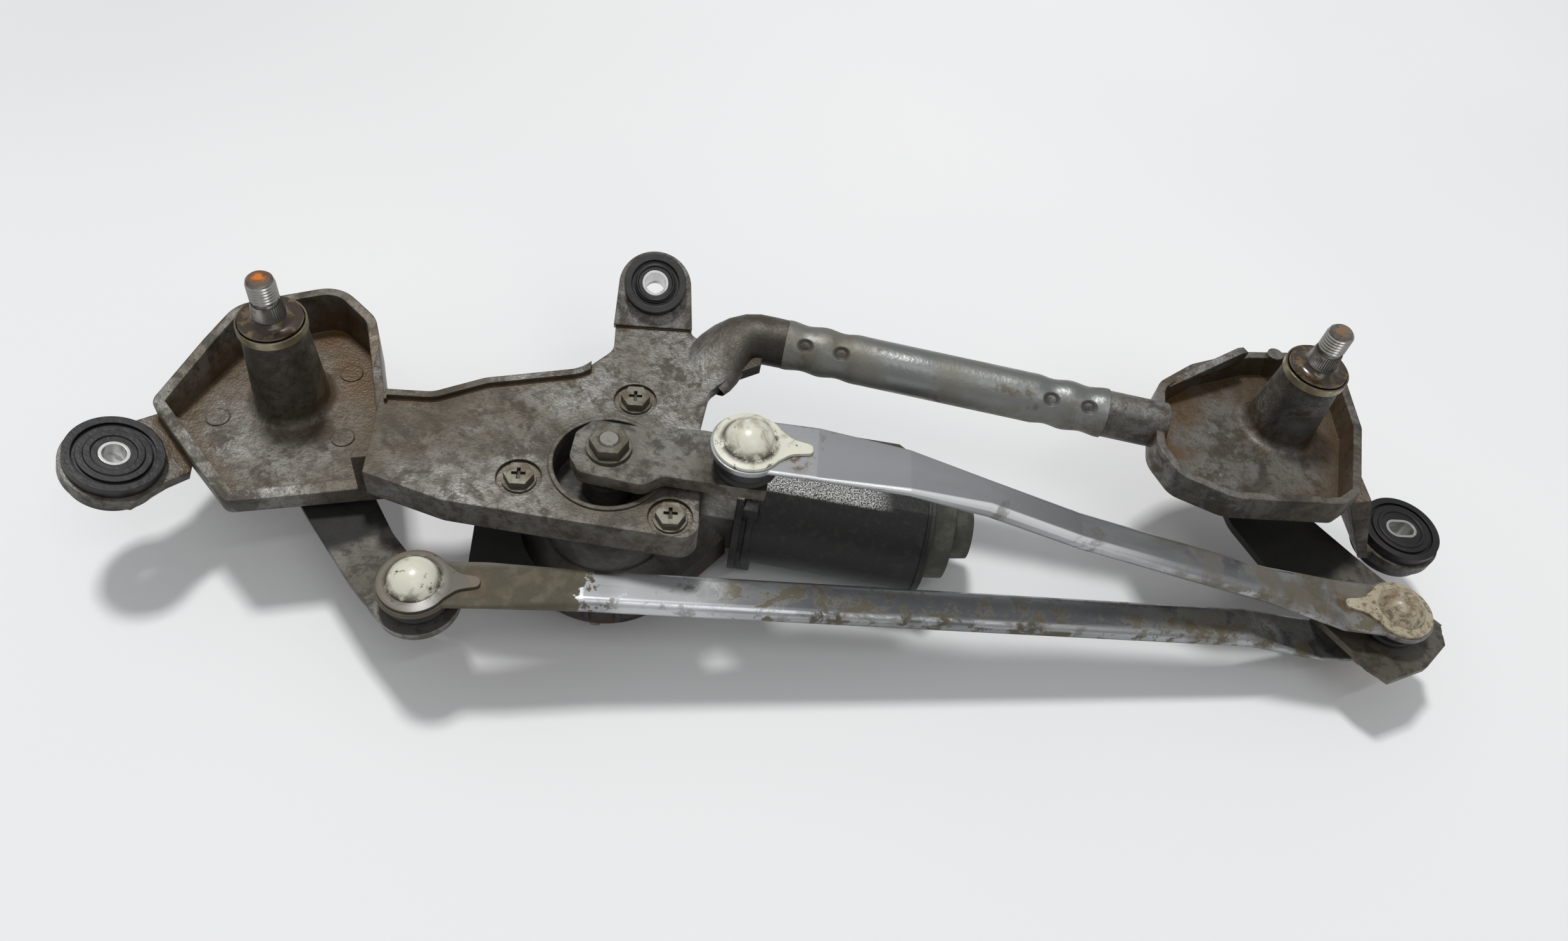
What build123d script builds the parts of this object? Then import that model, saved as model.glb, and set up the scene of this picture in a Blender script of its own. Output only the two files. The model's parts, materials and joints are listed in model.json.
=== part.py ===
# Windshield wiper motor with its linkage and brackets, in millimetres.
# The origin is on the motor's output axis, in the top face of the motor plate. +Z runs along the wiper
# shafts towards the wiper arms, +X along the line of the two pivots, from the left one to the right one.
from build123d import *
from math import atan, atan2, cos, degrees, hypot, pi, radians, sin, sqrt, tan
import os

os.makedirs("parts", exist_ok=True)

# Clearances
FIT_GAP = 0.05          # running fit of a shaft or a ball, on the radius
SEAT_GAP = 0.02         # pressed or glued seats of one body, on the radius
OPEN_GAP = 0.3          # between bodies that slide past each other

# Pivots of the two wiper shafts
LEFT_X, LEFT_Y = -131.5, 46.0
RIGHT_X, RIGHT_Y = 290.0, 46.0
LEFT_CAP_Z = 18.8
RIGHT_CAP_Z = 31.8
SHAFT_R = 6.0
SHAFT_TIP = 21.8        # tip above the cap
KNURL_LENGTH = 8.0
THREAD_R = 5.0
THREAD_LENGTH = 11.0
CAP_R = 13.3
CAP_SKIRT = 3.4
CAP_SHEET = 0.7
CAP_DISH = 1.6
TOWER_TOP_R = 12.3
TOWER_BASE_R = 14.6
TOWER_FLARE = 4.0
BOSS_R = 11.0
BUSH_R = 9.0
BUSH_LENGTH = 14.0

# Levers and rods
LEFT_LEVER_Z = -33.5    # top face of the lever
RIGHT_LEVER_Z = -42.0
LEFT_LEVER_LENGTH = 109.5
RIGHT_LEVER_LENGTH = 89.0
LEFT_LEVER_ANGLE = -54.9
RIGHT_LEVER_ANGLE = -61.0
LEVER_T = 3.5
LEVER_GAP = 1.0         # between the boss and the lever
RIVET_H = 1.8
RIVET_R = 7.5
THREAD_RELIEF = 0.7
LEVER_HUB_R = 17.0
LEVER_END_R = 16.0
NOTCH_R = 2.6
BALL_R = 7.0
BALL_RISE = 9.5         # ball centre above the face that carries the stud
CRANK_BALL_RISE = 12.0
NECK_R = 4.0
STUD_BASE_R = 8.0
STUD_BASE_T = 1.5
SOCKET_R = 10.6
SOCKET_RIM_R = 13.6
SOCKET_RIM_T = 1.4
SOCKET_RIM_RISE = 1.6   # rim above the ball's centre
SOCKET_MOUTH = 3.5      # mouth below the ball's centre
SOCKET_THROAT_R = SOCKET_R - 0.8
TAIL_REACH = 24.0       # tip of the socket's tail from the ball
TAIL_TIP = 2.0
ROD_T = 2.2
ROD_END_R = 14.6
UPPER_ROD = (15.6, 8.0)  # width and depth
LOWER_ROD = (16.6, 8.0)
ROD_FLAT = 26.0         # length of the flat ends, from the ball
UPPER_FLAT_WIDTH = 25.0
LOWER_FLAT_WIDTH = 20.0
ROD_TAPER = 62.0        # where the full section begins, from the ball
KNEE_SIZE = (21.0, 4.5)
KNEE_NARROW = (95.0, 4.6)  # where the upper rod reaches its full section, and its underside there
UPPER_BEND = (135.0, -8.5)  # from here on it runs straight to the far end
UPPER_STEP = 5.0        # drop of the upper rod just before its right ball
LOWER_DIP = 5.5         # drop of the lower rod just after its left ball
LOWER_STEP = 6.5        # drop of the lower rod just before its right ball
CRANK_KNEE = 62.0       # the upper rod clears the crank nut up to here when the crank is folded back
BOOT_R = 12.5

# Crank
CRANK_LENGTH = 52.3
ARM_T = 6.0
ARM_Z = 3.0             # underside of the arm above the plate
NUT_FLATS = 13.0
NUT_FLANGE_R = 8.7
NUT_H = 5.4
NUT_FLANGE_T = 1.6
THREAD_OVER_NUT = 0.6
NUT_CLEARANCE = 0.4     # below the upper rod when the crank is folded back
OUTPUT_R = 5.0
STUD_R = 4.0

# Motor plate and its hole
PLATE_T = 5.0
HOLE_R = 21.2
HOLE_LIP = 1.8
HOLE_LIP_H = 0.8
SCREW_CIRCLE_R = 34.3
SCREW_ANGLE = 75.3
SCREW_R = 3.0
SCREW_FLATS = 10.0
SCREW_HEAD_T = 4.0
CROSS_LENGTH = 5.2
CROSS_WIDTH = 1.3
CROSS_DEPTH = 1.6
SCREW_SEAT_R = 8.6
SCREW_SEAT_DEPTH = 1.5
SKIRT_DEPTH = 13.0
SKIRT_T = 3.0
RIM_RISE = 2.4
RIB_T = 3.0
RIB_DEPTH = 7.0

# Motor and gear housing
WORM_Z = -48.0
MOTOR_ANGLE = -8.8
WORM_OFFSET = 32.6      # between the output axis and the worm axis
HOUSING_R = 35.0
HOUSING_TOP_Z = -38.0
POST_R = 5.6
POST_FOOT_Z = -23.0      # the screw posts hang on webs and end above the lower rod
HOUSING_BEVEL = 9.5
COVER_Z = -61.0
COVER_T = 2.5
COLLAR_R = 24.5
WORM_R = 5.0
MESH_GAP = 0.6          # the worm and the wheel run free of each other
WHEEL_R = WORM_OFFSET - WORM_R - MESH_GAP
WHEEL_T = 9.0
TOOTH_H = 2.4
TEETH = 48
YOKE_R = 28.0
YOKE_FLAT = 25.3
YOKE_WALL = 2.5
YOKE_START = 51.0       # along the motor axis from the foot of the output axis
YOKE_LENGTH = 82.0
FLANGE_R = 32.0
FLANGE_T = 3.0
END_CUP_R = 22.0
END_CUP_T = 10.0
END_BOSS_R = 12.0
END_BOSS_T = 19.5
MOUTH_R = 24.0          # bell mouth of the gear housing, where the motor is flanged on
MOUTH_START = 36.0
WHEEL_ROOM_GAP = 1.5
WORM_ROOM_R = 6.5
COVER_SCREW_R = 1.6
COVER_SCREW_HEAD_R = 3.4
COVER_SCREW_HEAD_T = 2.2
COVER_SCREW_TURNS = (15, 130, 200, 265, 320)

# Inside the motor
MAGNET_T = 5.0
MAGNET_LENGTH = 46.0
MAGNET_START = 16.0     # from the flange
MAGNET_SPLIT = 16.0
AIR_GAP = 1.0
CORE_LENGTH = 40.0
CORE_START = 18.0
CORE_SLOTS = 10
SLOT_DEPTH = 5.0
SLOT_WIDTH = 2.0
AXLE_R = 3.0
WORM_LENGTH = 36.0
COMMUTATOR_R = 9.0
COMMUTATOR_START = 6.0
COMMUTATOR_LENGTH = 11.0
BRUSH_WIDTH = 5.0
BRUSH_LENGTH = 7.0
HOLDER_T = 5.0
BEARING_R = 8.0
BEARING_T = 7.0

# Connector socket
PLUG_WIDTH = 26.0
PLUG_HEIGHT = 13.0
PLUG_WALL = 2.0
PLUG_DEPTH = 14.0
PLUG_REACH = 18.0       # beyond the gear housing
PLUG_Y = -14.0
PLUG_Z = -46.0

# Trays of the two pivots
LEFT_FLOOR_Z = -26.0
RIGHT_FLOOR_Z = -5.0
FLOOR_T = 3.2
TRAY_WALL = 3.5
TRAY_DRAFT = 1.6        # the walls are this much thicker at the floor
EJECTOR_R = 4.5
EJECTOR_H = 0.5
FLANGE_RISE = 6.0       # peak on the right tray's back wall
GUSSET_DROP = 28.0
GUSSET_REACH = 30.0
LEFT_RIM_Z = -2.0
LEFT_FRONT_RIM_Z = -22.0
RIGHT_RIM_Z = 5.0

# Grommets
GROMMET_R = 17.4
TOP_GROMMET_R = 13.0
GROMMET_FLANGE = 4.6
GROMMET_GROOVE = 1.4
EAR_RIM = 1.4           # metal that shows round a grommet
TOP_EAR_RIM = 2.3
EAR_T = 5.0
SLEEVE_R = 5.5
SLEEVE_BORE_R = 4.25
SLOT_HALF = 2.2         # half the distance between the round ends of the oval sleeve
LEFT_EAR = (-187.7, 3.5, -21.6)
LEFT_EAR_TILT = 19.0
TOP_EAR = (14.2, 90.4, 8.3)
TOP_EAR_TILT = 30.0
RIGHT_EAR = (355.8, 16.6, -44.0)

# Cross tube
TUBE_START = (71.0, 70.0, 0.0)
TUBE_END = (207.0, 42.0, 0.0)
TUBE_R = 10.5
TUBE_WALL = 1.9
SPIGOT_LENGTH = 32.0
DIMPLE_R = 4.0
DIMPLE_DEPTH = 1.3
DIMPLE_TURN = -38.0     # from the top of the tube towards the front


def level(x, y, z):
    return Plane(origin=(x, y, z))


def polar(x, y, length, angle):
    return (x + length * cos(radians(angle)), y + length * sin(radians(angle)))


def finish(piece, name):
    piece.part.label = name
    export_step(piece.part, "parts/" + name + ".step")


LEFT_BALL = polar(LEFT_X, LEFT_Y, LEFT_LEVER_LENGTH, LEFT_LEVER_ANGLE)
RIGHT_BALL = polar(RIGHT_X, RIGHT_Y, RIGHT_LEVER_LENGTH, RIGHT_LEVER_ANGLE)
# The crank and the upper rod lie in one line at rest, which is the end of the wiper stroke.
CRANK_ANGLE = degrees(atan2(RIGHT_BALL[1], RIGHT_BALL[0]))
CRANK_BALL = polar(0, 0, CRANK_LENGTH, CRANK_ANGLE)
ARM_TOP_Z = ARM_Z + ARM_T
CRANK_BALL_Z = ARM_TOP_Z + CRANK_BALL_RISE
NUT_TOP_Z = ARM_TOP_Z + NUT_H
RIGHT_UPPER_BALL_Z = RIGHT_LEVER_Z + BALL_RISE
RIGHT_LOWER_BALL_Z = RIGHT_LEVER_Z - LEVER_T - BALL_RISE
LEFT_BALL_Z = LEFT_LEVER_Z + BALL_RISE
MOTOR_FOOT = polar(0, 0, WORM_OFFSET, MOTOR_ANGLE + 90)
EAR_HOLE_R = GROMMET_R - 4.5
TOP_EAR_HOLE_R = TOP_GROMMET_R - 3.0


def motor_plane(along):
    # A plane across the motor axis, its normal pointing away from the gear housing.
    x, y = polar(MOTOR_FOOT[0], MOTOR_FOOT[1], along, MOTOR_ANGLE)
    direction = (cos(radians(MOTOR_ANGLE)), sin(radians(MOTOR_ANGLE)), 0)
    return Plane(origin=(x, y, WORM_Z), x_dir=(0, 0, 1), z_dir=direction)


def tilted(origin, tilt_x, tilt_y):
    return Plane(origin=origin).rotated((tilt_x, tilt_y, 0))


TOP_EAR_PLANE = tilted(TOP_EAR, TOP_EAR_TILT, 0)
LEFT_EAR_PLANE = tilted(LEFT_EAR, 0, LEFT_EAR_TILT)
RIGHT_EAR_PLANE = Plane(origin=RIGHT_EAR)
TUBE_DIR = Vector(*TUBE_END) - Vector(*TUBE_START)
TUBE_LENGTH = TUBE_DIR.length
TUBE_PLANE = Plane(origin=TUBE_START, x_dir=(0, 0, 1), z_dir=TUBE_DIR)
TUBE_END_PLANE = Plane(origin=TUBE_END, x_dir=(0, 0, 1), z_dir=-TUBE_DIR)
SPIGOT_R = TUBE_R - TUBE_WALL - SEAT_GAP


def screw_places(radius):
    return [polar(0, 0, radius, SCREW_ANGLE + turn * 120) for turn in range(3)]


def trace(*corners):
    # Closed outline through the corners (x, y, radius), each rounded to its own radius.
    bends = []
    for i, (x, y, radius) in enumerate(corners):
        here = Vector(x, y)
        back = (Vector(*corners[i - 1][:2]) - here).normalized()
        ahead = (Vector(*corners[(i + 1) % len(corners)][:2]) - here).normalized()
        half = radians(back.get_angle(ahead) / 2)
        middle = here + (back + ahead).normalized() * (radius / sin(half) - radius)
        bends.append((here + back * (radius / tan(half)), middle, here + ahead * (radius / tan(half))))
    for i, (start, middle, end) in enumerate(bends):
        Line(bends[i - 1][2], start)
        if corners[i][2]:
            ThreePointArc(start, middle, end)


def outlined(*corners):
    with BuildLine() as path:
        trace(*corners)
    make_face(path.edges())


# Outlines of the castings, each corner with its radius
PLATE = (
    (-90, 29, 0), (-70, 29, 10), (-51, 38, 14), (-14, 46.5, 14), (-1.5, 60, 8), (-1.5, 76, 0), (29.5, 76, 0),
    (32, 69, 4), (44, 72, 10), (57, 80, 4), (64, 80, 0), (60, 57, 0), (49, 51, 14), (38.5, 40, 8),
    (35.2, 22, 10), (35.2, -34.5, 7), (-22, -27, 25), (-60, -21.5, 12), (-90, -10.5, 0),
)
LEFT_TRAY = ((-180, 30, 5), (-158, 78, 14), (-119, 93, 14), (-101, 76, 12), (-81.5, 0, 5), (-144, -11.5, 5))
RIGHT_TRAY = (
    (224.5, 22, 14), (233, 57, 12), (252, 70, 14), (280, 80, 12), (310, 82, 8), (324, 68, 6),
    (321.5, 38, 8), (308.5, 2, 5), (299, -4.5, 6), (252, -4.5, 20), (231, 6, 10),
)
EJECTOR_MARKS = ((-111, 61), (-108, 26), (-158, 33))


def tower_and_boss(x, y, floor_z, cap_z, lever_z):
    # The tower stands on the tray floor and a plain boss hangs below it, down to the lever.
    top = cap_z - CAP_DISH - CAP_SHEET
    bottom = lever_z + LEVER_GAP
    base = floor_z
    with BuildPart(mode=Mode.PRIVATE) as tower:
        with BuildSketch(Plane.XZ.offset(-y)):
            with BuildLine():
                Polyline((x, bottom), (x + BOSS_R, bottom), (x + BOSS_R, base - FLOOR_T),
                         (x + TOWER_BASE_R + TOWER_FLARE, base - FLOOR_T),
                         (x + TOWER_BASE_R + TOWER_FLARE, base))
                ThreePointArc((x + TOWER_BASE_R + TOWER_FLARE, base),
                              (x + TOWER_BASE_R + 0.3 * TOWER_FLARE, base + 0.3 * TOWER_FLARE),
                              (x + TOWER_BASE_R, base + TOWER_FLARE))
                Polyline((x + TOWER_BASE_R, base + TOWER_FLARE), (x + TOWER_TOP_R, top), (x, top),
                         (x, bottom))
            make_face()
        revolve(axis=Axis((x, y, 0), (0, 0, 1)))
    return tower.part


def tray(outline, floor_z, rim_z):
    # A pan with drafted walls, drawn round the outline.
    height = rim_z - floor_z
    with BuildSketch(level(0, 0, floor_z - FLOOR_T)) as block:
        outlined(*outline)
    extrude(block.sketch, amount=height + FLOOR_T)
    with BuildSketch(level(0, 0, floor_z)) as hollow:
        outlined(*outline)
        offset(amount=-TRAY_WALL - TRAY_DRAFT)
    extrude(hollow.sketch, amount=height, taper=-degrees(atan(TRAY_DRAFT / height)), mode=Mode.SUBTRACT)


def ribs(x, y, top, depth, reach, turns):
    # Webs below a tray that run out from the pivot's boss.
    for turn in turns:
        with BuildSketch(Plane(origin=(x, y, top), x_dir=(cos(radians(turn)), sin(radians(turn)), 0),
                               z_dir=(sin(radians(turn)), -cos(radians(turn)), 0)).offset(-RIB_T / 2)) as web:
            outlined((0, 0, 0), (reach, 0, 0), (reach, -min(depth, 2), 0), (BOSS_R, -depth, 0),
                     (0, -depth, 0))
        extrude(web.sketch, amount=RIB_T)


EAR_R = GROMMET_R + EAR_RIM
TOP_EAR_R = TOP_GROMMET_R + TOP_EAR_RIM

with BuildPart() as main_bracket:
    with BuildSketch(Plane.XY.offset(-PLATE_T)):
        outlined(*PLATE)
    extrude(amount=PLATE_T)
    # Skirt that hangs from the front and right edges, and the low rim along the back.
    with BuildSketch(Plane.XY.offset(-SKIRT_DEPTH)):
        outlined(*PLATE)
        offset(amount=-SKIRT_T, mode=Mode.SUBTRACT)
        with Locations((-30, -30)):
            Rectangle(140, 90, mode=Mode.INTERSECT)
    extrude(amount=SKIRT_DEPTH)
    with BuildSketch():
        outlined(*PLATE)
        offset(amount=-SKIRT_T, mode=Mode.SUBTRACT)
        with Locations((-49, 39)):
            Rectangle(78, 30, mode=Mode.INTERSECT)
    extrude(amount=RIM_RISE)
    # Lip round the motor hole and stiffening webs below the plate.
    with BuildSketch():
        Circle(HOLE_R + HOLE_LIP)
    extrude(amount=HOLE_LIP_H)
    with BuildSketch(Plane.XY.offset(-PLATE_T - RIB_DEPTH)):
        with Locations((-64, 16), (-64, -2)):
            Rectangle(40, RIB_T)
    extrude(amount=RIB_DEPTH)
    # Top ear, bent up towards the body.
    with BuildSketch(TOP_EAR_PLANE.offset(-EAR_T / 2)):
        Circle(TOP_EAR_R)
        with BuildLine():
            Polyline((-TOP_EAR_R, 0), (-TOP_EAR_R - 1.2, -18), (TOP_EAR_R + 1.2, -18), (TOP_EAR_R, 0),
                     close=True)
        make_face()
    extrude(amount=EAR_T)
    # Neck and spigot for the cross tube.
    with BuildSketch(Plane(origin=(42, 62, -PLATE_T / 2), x_dir=(0, 0, 1), z_dir=(0.95, 0.31, 0))):
        RectangleRounded(PLATE_T + 4, 24, 2)
    with BuildSketch(TUBE_PLANE.offset(-12)):
        Circle(TUBE_R - 0.5)
    loft()
    with BuildSketch(TUBE_PLANE.offset(-12)):
        Circle(TUBE_R - 0.5)
    extrude(amount=12)
    with BuildSketch(TUBE_PLANE):
        Circle(SPIGOT_R)
    extrude(amount=SPIGOT_LENGTH)
    tray(LEFT_TRAY, LEFT_FLOOR_Z, LEFT_RIM_Z)
    # The rim falls away towards the front and the left.
    with BuildSketch(Plane.YZ.offset(-200)):
        with BuildLine():
            Polyline((-40, LEFT_FRONT_RIM_Z), (-6, LEFT_FRONT_RIM_Z), (60, -9), (84, -6), (100, -6),
                     (100, 10), (-40, 10), close=True)
        make_face()
    extrude(amount=104, mode=Mode.SUBTRACT)
    with BuildSketch(level(0, 0, LEFT_FLOOR_Z)):
        with Locations(*EJECTOR_MARKS):
            Circle(EJECTOR_R)
    extrude(amount=EJECTOR_H)
    add(tower_and_boss(LEFT_X, LEFT_Y, LEFT_FLOOR_Z, LEFT_CAP_Z, LEFT_LEVER_Z))
    left_under_z = LEFT_FLOOR_Z - FLOOR_T
    ribs(LEFT_X, LEFT_Y, left_under_z, left_under_z - LEFT_LEVER_Z - LEVER_GAP, 36, (60, 150, 240, 330))
    # Left ear.
    with BuildSketch(LEFT_EAR_PLANE.offset(-EAR_T / 2)):
        Circle(EAR_R)
        outlined((0, EAR_R, 0), (9, 27, 4), (24, 27, 0), (26.5, 3, 0), (20, -4, 8), (11, -17, 0),
                 (0, -EAR_R, 0))
    extrude(amount=EAR_T)
    with BuildSketch(LEFT_EAR_PLANE.offset(-EAR_T)):
        Circle(EAR_HOLE_R)
    extrude(amount=2 * EAR_T, mode=Mode.SUBTRACT)
    with BuildSketch(TOP_EAR_PLANE.offset(-EAR_T)):
        Circle(TOP_EAR_HOLE_R)
    extrude(amount=2 * EAR_T, mode=Mode.SUBTRACT)
    # Shaft bore, motor hole, screw seats and screw holes.
    with Locations((LEFT_X, LEFT_Y, 0)):
        Cylinder(BUSH_R, 200, mode=Mode.SUBTRACT)
    Cylinder(HOLE_R, 3 * PLATE_T, mode=Mode.SUBTRACT)
    with BuildSketch(Plane.XY.offset(-SCREW_SEAT_DEPTH)):
        with Locations(*screw_places(SCREW_CIRCLE_R)):
            Circle(SCREW_SEAT_R)
    extrude(amount=SCREW_SEAT_DEPTH + HOLE_LIP_H, mode=Mode.SUBTRACT)
    with BuildSketch(Plane.XY.offset(-PLATE_T)):
        with Locations(*screw_places(SCREW_CIRCLE_R)):
            Circle(SCREW_R + 0.25)
    extrude(amount=PLATE_T, mode=Mode.SUBTRACT)
finish(main_bracket, "main_bracket")

# Right bracket: tray, tower, ear and spigot in one casting.
with BuildPart() as right_bracket:
    tray(RIGHT_TRAY, RIGHT_FLOOR_Z, RIGHT_RIM_Z)
    # The back wall rises to a peak, with a small lug beside it.
    back_wall = Plane(origin=(233, 57, RIGHT_RIM_Z - 1), x_dir=(46, 22, 0), z_dir=(22, -46, 0))
    with BuildSketch(back_wall):
        with BuildLine():
            Polyline((4, 0), (47, 0), (48, FLANGE_RISE), (44, FLANGE_RISE + 1), close=True)
        make_face()
    extrude(amount=TRAY_WALL)
    with BuildSketch(level(293, 78, RIGHT_FLOOR_Z)):
        Circle(3.5)
    extrude(amount=RIGHT_RIM_Z - RIGHT_FLOOR_Z + 2)
    add(tower_and_boss(RIGHT_X, RIGHT_Y, RIGHT_FLOOR_Z, RIGHT_CAP_Z, RIGHT_LEVER_Z))
    ribs(RIGHT_X, RIGHT_Y, RIGHT_FLOOR_Z - FLOOR_T, GUSSET_DROP, GUSSET_REACH, (10, 100, 190, 280))
    # Neck and spigot for the cross tube.
    with BuildSketch(TUBE_END_PLANE.offset(-26)):
        Circle(TUBE_R - 0.5)
    extrude(amount=26)
    with BuildSketch(TUBE_END_PLANE):
        Circle(SPIGOT_R)
    extrude(amount=SPIGOT_LENGTH)
    # Arm that drops from the tray's corner to the right ear.
    with BuildSketch(Plane.XZ.offset(-32)):
        with BuildLine():
            Polyline((308, RIGHT_FLOOR_Z - FLOOR_T), (320, RIGHT_FLOOR_Z), (337.5, RIGHT_EAR[2] + EAR_T / 2),
                     (346, RIGHT_EAR[2] + EAR_T / 2), (346, RIGHT_EAR[2] - EAR_T / 2),
                     (336, RIGHT_EAR[2] - EAR_T / 2), (313, RIGHT_FLOOR_Z - FLOOR_T - 2), close=True)
        make_face()
    extrude(amount=26)
    with BuildSketch(RIGHT_EAR_PLANE.offset(-EAR_T / 2)):
        Circle(EAR_R)
    extrude(amount=EAR_T)
    with BuildSketch(RIGHT_EAR_PLANE.offset(-EAR_T)):
        Circle(EAR_HOLE_R)
    extrude(amount=3 * EAR_T, mode=Mode.SUBTRACT)
    with Locations((RIGHT_X, RIGHT_Y, 0)):
        Cylinder(BUSH_R, 200, mode=Mode.SUBTRACT)
finish(right_bracket, "right_bracket")

# Cross tube, pressed on both spigots and dimpled over them.
with BuildPart() as cross_tube:
    with BuildSketch(TUBE_PLANE):
        Circle(TUBE_R)
        Circle(TUBE_R - TUBE_WALL, mode=Mode.SUBTRACT)
    extrude(amount=TUBE_LENGTH)
    for reach in (10, 22, TUBE_LENGTH - 22, TUBE_LENGTH - 10):
        for turn in (DIMPLE_TURN, DIMPLE_TURN + 180):
            centre = TUBE_PLANE.offset(reach).location * Location((0, 0, 0), (0, 0, turn))
            with Locations(centre * Location((TUBE_R + DIMPLE_R - DIMPLE_DEPTH, 0, 0))):
                Sphere(DIMPLE_R, mode=Mode.SUBTRACT)
finish(cross_tube, "cross_tube")


def grommet(name, plane, radius, hole_r, slot_half):
    half = EAR_T / 2
    with BuildPart() as rubber:
        with BuildSketch(plane.offset(half)):
            Circle(radius)
        extrude(amount=GROMMET_FLANGE)
        with BuildSketch(plane.offset(-half - GROMMET_FLANGE)):
            Circle(radius - 0.5)
        extrude(amount=GROMMET_FLANGE)
        with BuildSketch(plane.offset(-half - 0.01)):
            Circle(hole_r - SEAT_GAP)
        extrude(amount=EAR_T + 0.02)
        with BuildSketch(plane.offset(-half - GROMMET_FLANGE)):
            if slot_half:
                SlotCenterToCenter(2 * slot_half, 2 * (SLEEVE_R - 0.6))
            else:
                Circle(SLEEVE_R)
        extrude(amount=EAR_T + 2 * GROMMET_FLANGE, mode=Mode.SUBTRACT)
        # A ring groove in both faces.
        for side in (1, -1):
            with BuildSketch(plane.offset(side * (half + GROMMET_FLANGE))):
                Circle(radius - 3)
                Circle(radius - 3 - GROMMET_GROOVE, mode=Mode.SUBTRACT)
            extrude(amount=-side * GROMMET_GROOVE, mode=Mode.SUBTRACT)
    finish(rubber, name + "_grommet")
    with BuildPart() as sleeve:
        with BuildSketch(plane.offset(-half - GROMMET_FLANGE)):
            if slot_half:
                SlotCenterToCenter(2 * slot_half, 2 * (SLEEVE_R - 0.6 - SEAT_GAP))
                SlotCenterToCenter(2 * slot_half, 2 * (SLEEVE_BORE_R - 0.6), mode=Mode.SUBTRACT)
            else:
                Circle(SLEEVE_R - SEAT_GAP)
                Circle(SLEEVE_BORE_R, mode=Mode.SUBTRACT)
        extrude(amount=EAR_T + 2 * GROMMET_FLANGE)
    finish(sleeve, name + "_sleeve")


grommet("left", LEFT_EAR_PLANE, GROMMET_R, EAR_HOLE_R, 0)
grommet("top", TOP_EAR_PLANE, TOP_GROMMET_R, TOP_EAR_HOLE_R, 0)
grommet("right", RIGHT_EAR_PLANE, GROMMET_R, EAR_HOLE_R, SLOT_HALF)


def pivot(side, x, y, cap_z, lever_z):
    # Two bushes in the bore, the shaft, and the cap that closes the tower.
    top = cap_z - CAP_DISH - CAP_SHEET
    bottom = lever_z + LEVER_GAP
    with BuildPart() as bushes:
        for z in (bottom, top - BUSH_LENGTH):
            with BuildSketch(level(x, y, z)):
                Circle(BUSH_R - SEAT_GAP)
                Circle(SHAFT_R + FIT_GAP, mode=Mode.SUBTRACT)
            extrude(amount=BUSH_LENGTH)
    finish(bushes, side + "_pivot_bushes")
    with BuildPart() as cap:
        with BuildSketch(Plane.XZ.offset(-y)):
            with BuildLine():
                Polyline((x + SHAFT_R + FIT_GAP, top), (x + CAP_R - CAP_SHEET, top),
                         (x + CAP_R - CAP_SHEET, cap_z - CAP_SKIRT), (x + CAP_R, cap_z - CAP_SKIRT),
                         (x + CAP_R, cap_z), (x + CAP_R - CAP_SHEET, cap_z),
                         (x + CAP_R - CAP_SHEET, top + CAP_SHEET), (x + SHAFT_R + FIT_GAP, top + CAP_SHEET),
                         close=True)
            make_face()
        revolve(axis=Axis((x, y, 0), (0, 0, 1)))
    finish(cap, side + "_pivot_cap")
    tip = cap_z + SHAFT_TIP
    thread_foot = tip - THREAD_LENGTH
    foot = lever_z - LEVER_T
    with BuildPart() as shaft:
        with BuildSketch(Plane.XZ.offset(-y)):
            with BuildLine():
                Polyline((x, foot - RIVET_H), (x + SHAFT_R, foot - RIVET_H), (x + RIVET_R, foot),
                         (x + SHAFT_R - 1, foot), (x + SHAFT_R - 1, lever_z), (x + SHAFT_R, lever_z),
                         (x + SHAFT_R, thread_foot - KNURL_LENGTH),
                         (x + THREAD_R, thread_foot - THREAD_RELIEF),
                         (x + THREAD_R - THREAD_RELIEF, thread_foot),
                         (x + THREAD_R, thread_foot + THREAD_RELIEF),
                         (x + THREAD_R, tip - 1), (x + THREAD_R - 1, tip), (x, tip), close=True)
            make_face()
        revolve(axis=Axis((x, y, 0), (0, 0, 1)))
    finish(shaft, side + "_pivot_shaft")


pivot("left", LEFT_X, LEFT_Y, LEFT_CAP_Z, LEFT_LEVER_Z)
pivot("right", RIGHT_X, RIGHT_Y, RIGHT_CAP_Z, RIGHT_LEVER_Z)


def lever(side, x, y, z, length, angle, web, end, notches):
    # A pressed lever, drawn along its line from the shaft to the ball: hub, web and end plate.
    plane = Plane(origin=(x, y, z - LEVER_T)).rotated((0, 0, angle))
    with BuildPart() as plate:
        with BuildSketch(plane):
            Circle(LEVER_HUB_R)
            outlined(*web)
            if end:
                outlined(*end)
            else:
                with Locations((length, 0)):
                    Circle(LEVER_END_R)
            Circle(SHAFT_R - 1 + SEAT_GAP, mode=Mode.SUBTRACT)
            with Locations((length, 0)):
                Circle(NECK_R + SEAT_GAP, mode=Mode.SUBTRACT)
            for notch in notches:
                with Locations(notch):
                    Circle(NOTCH_R, mode=Mode.SUBTRACT)
        extrude(amount=LEVER_T)
    finish(plate, side + "_lever")


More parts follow.
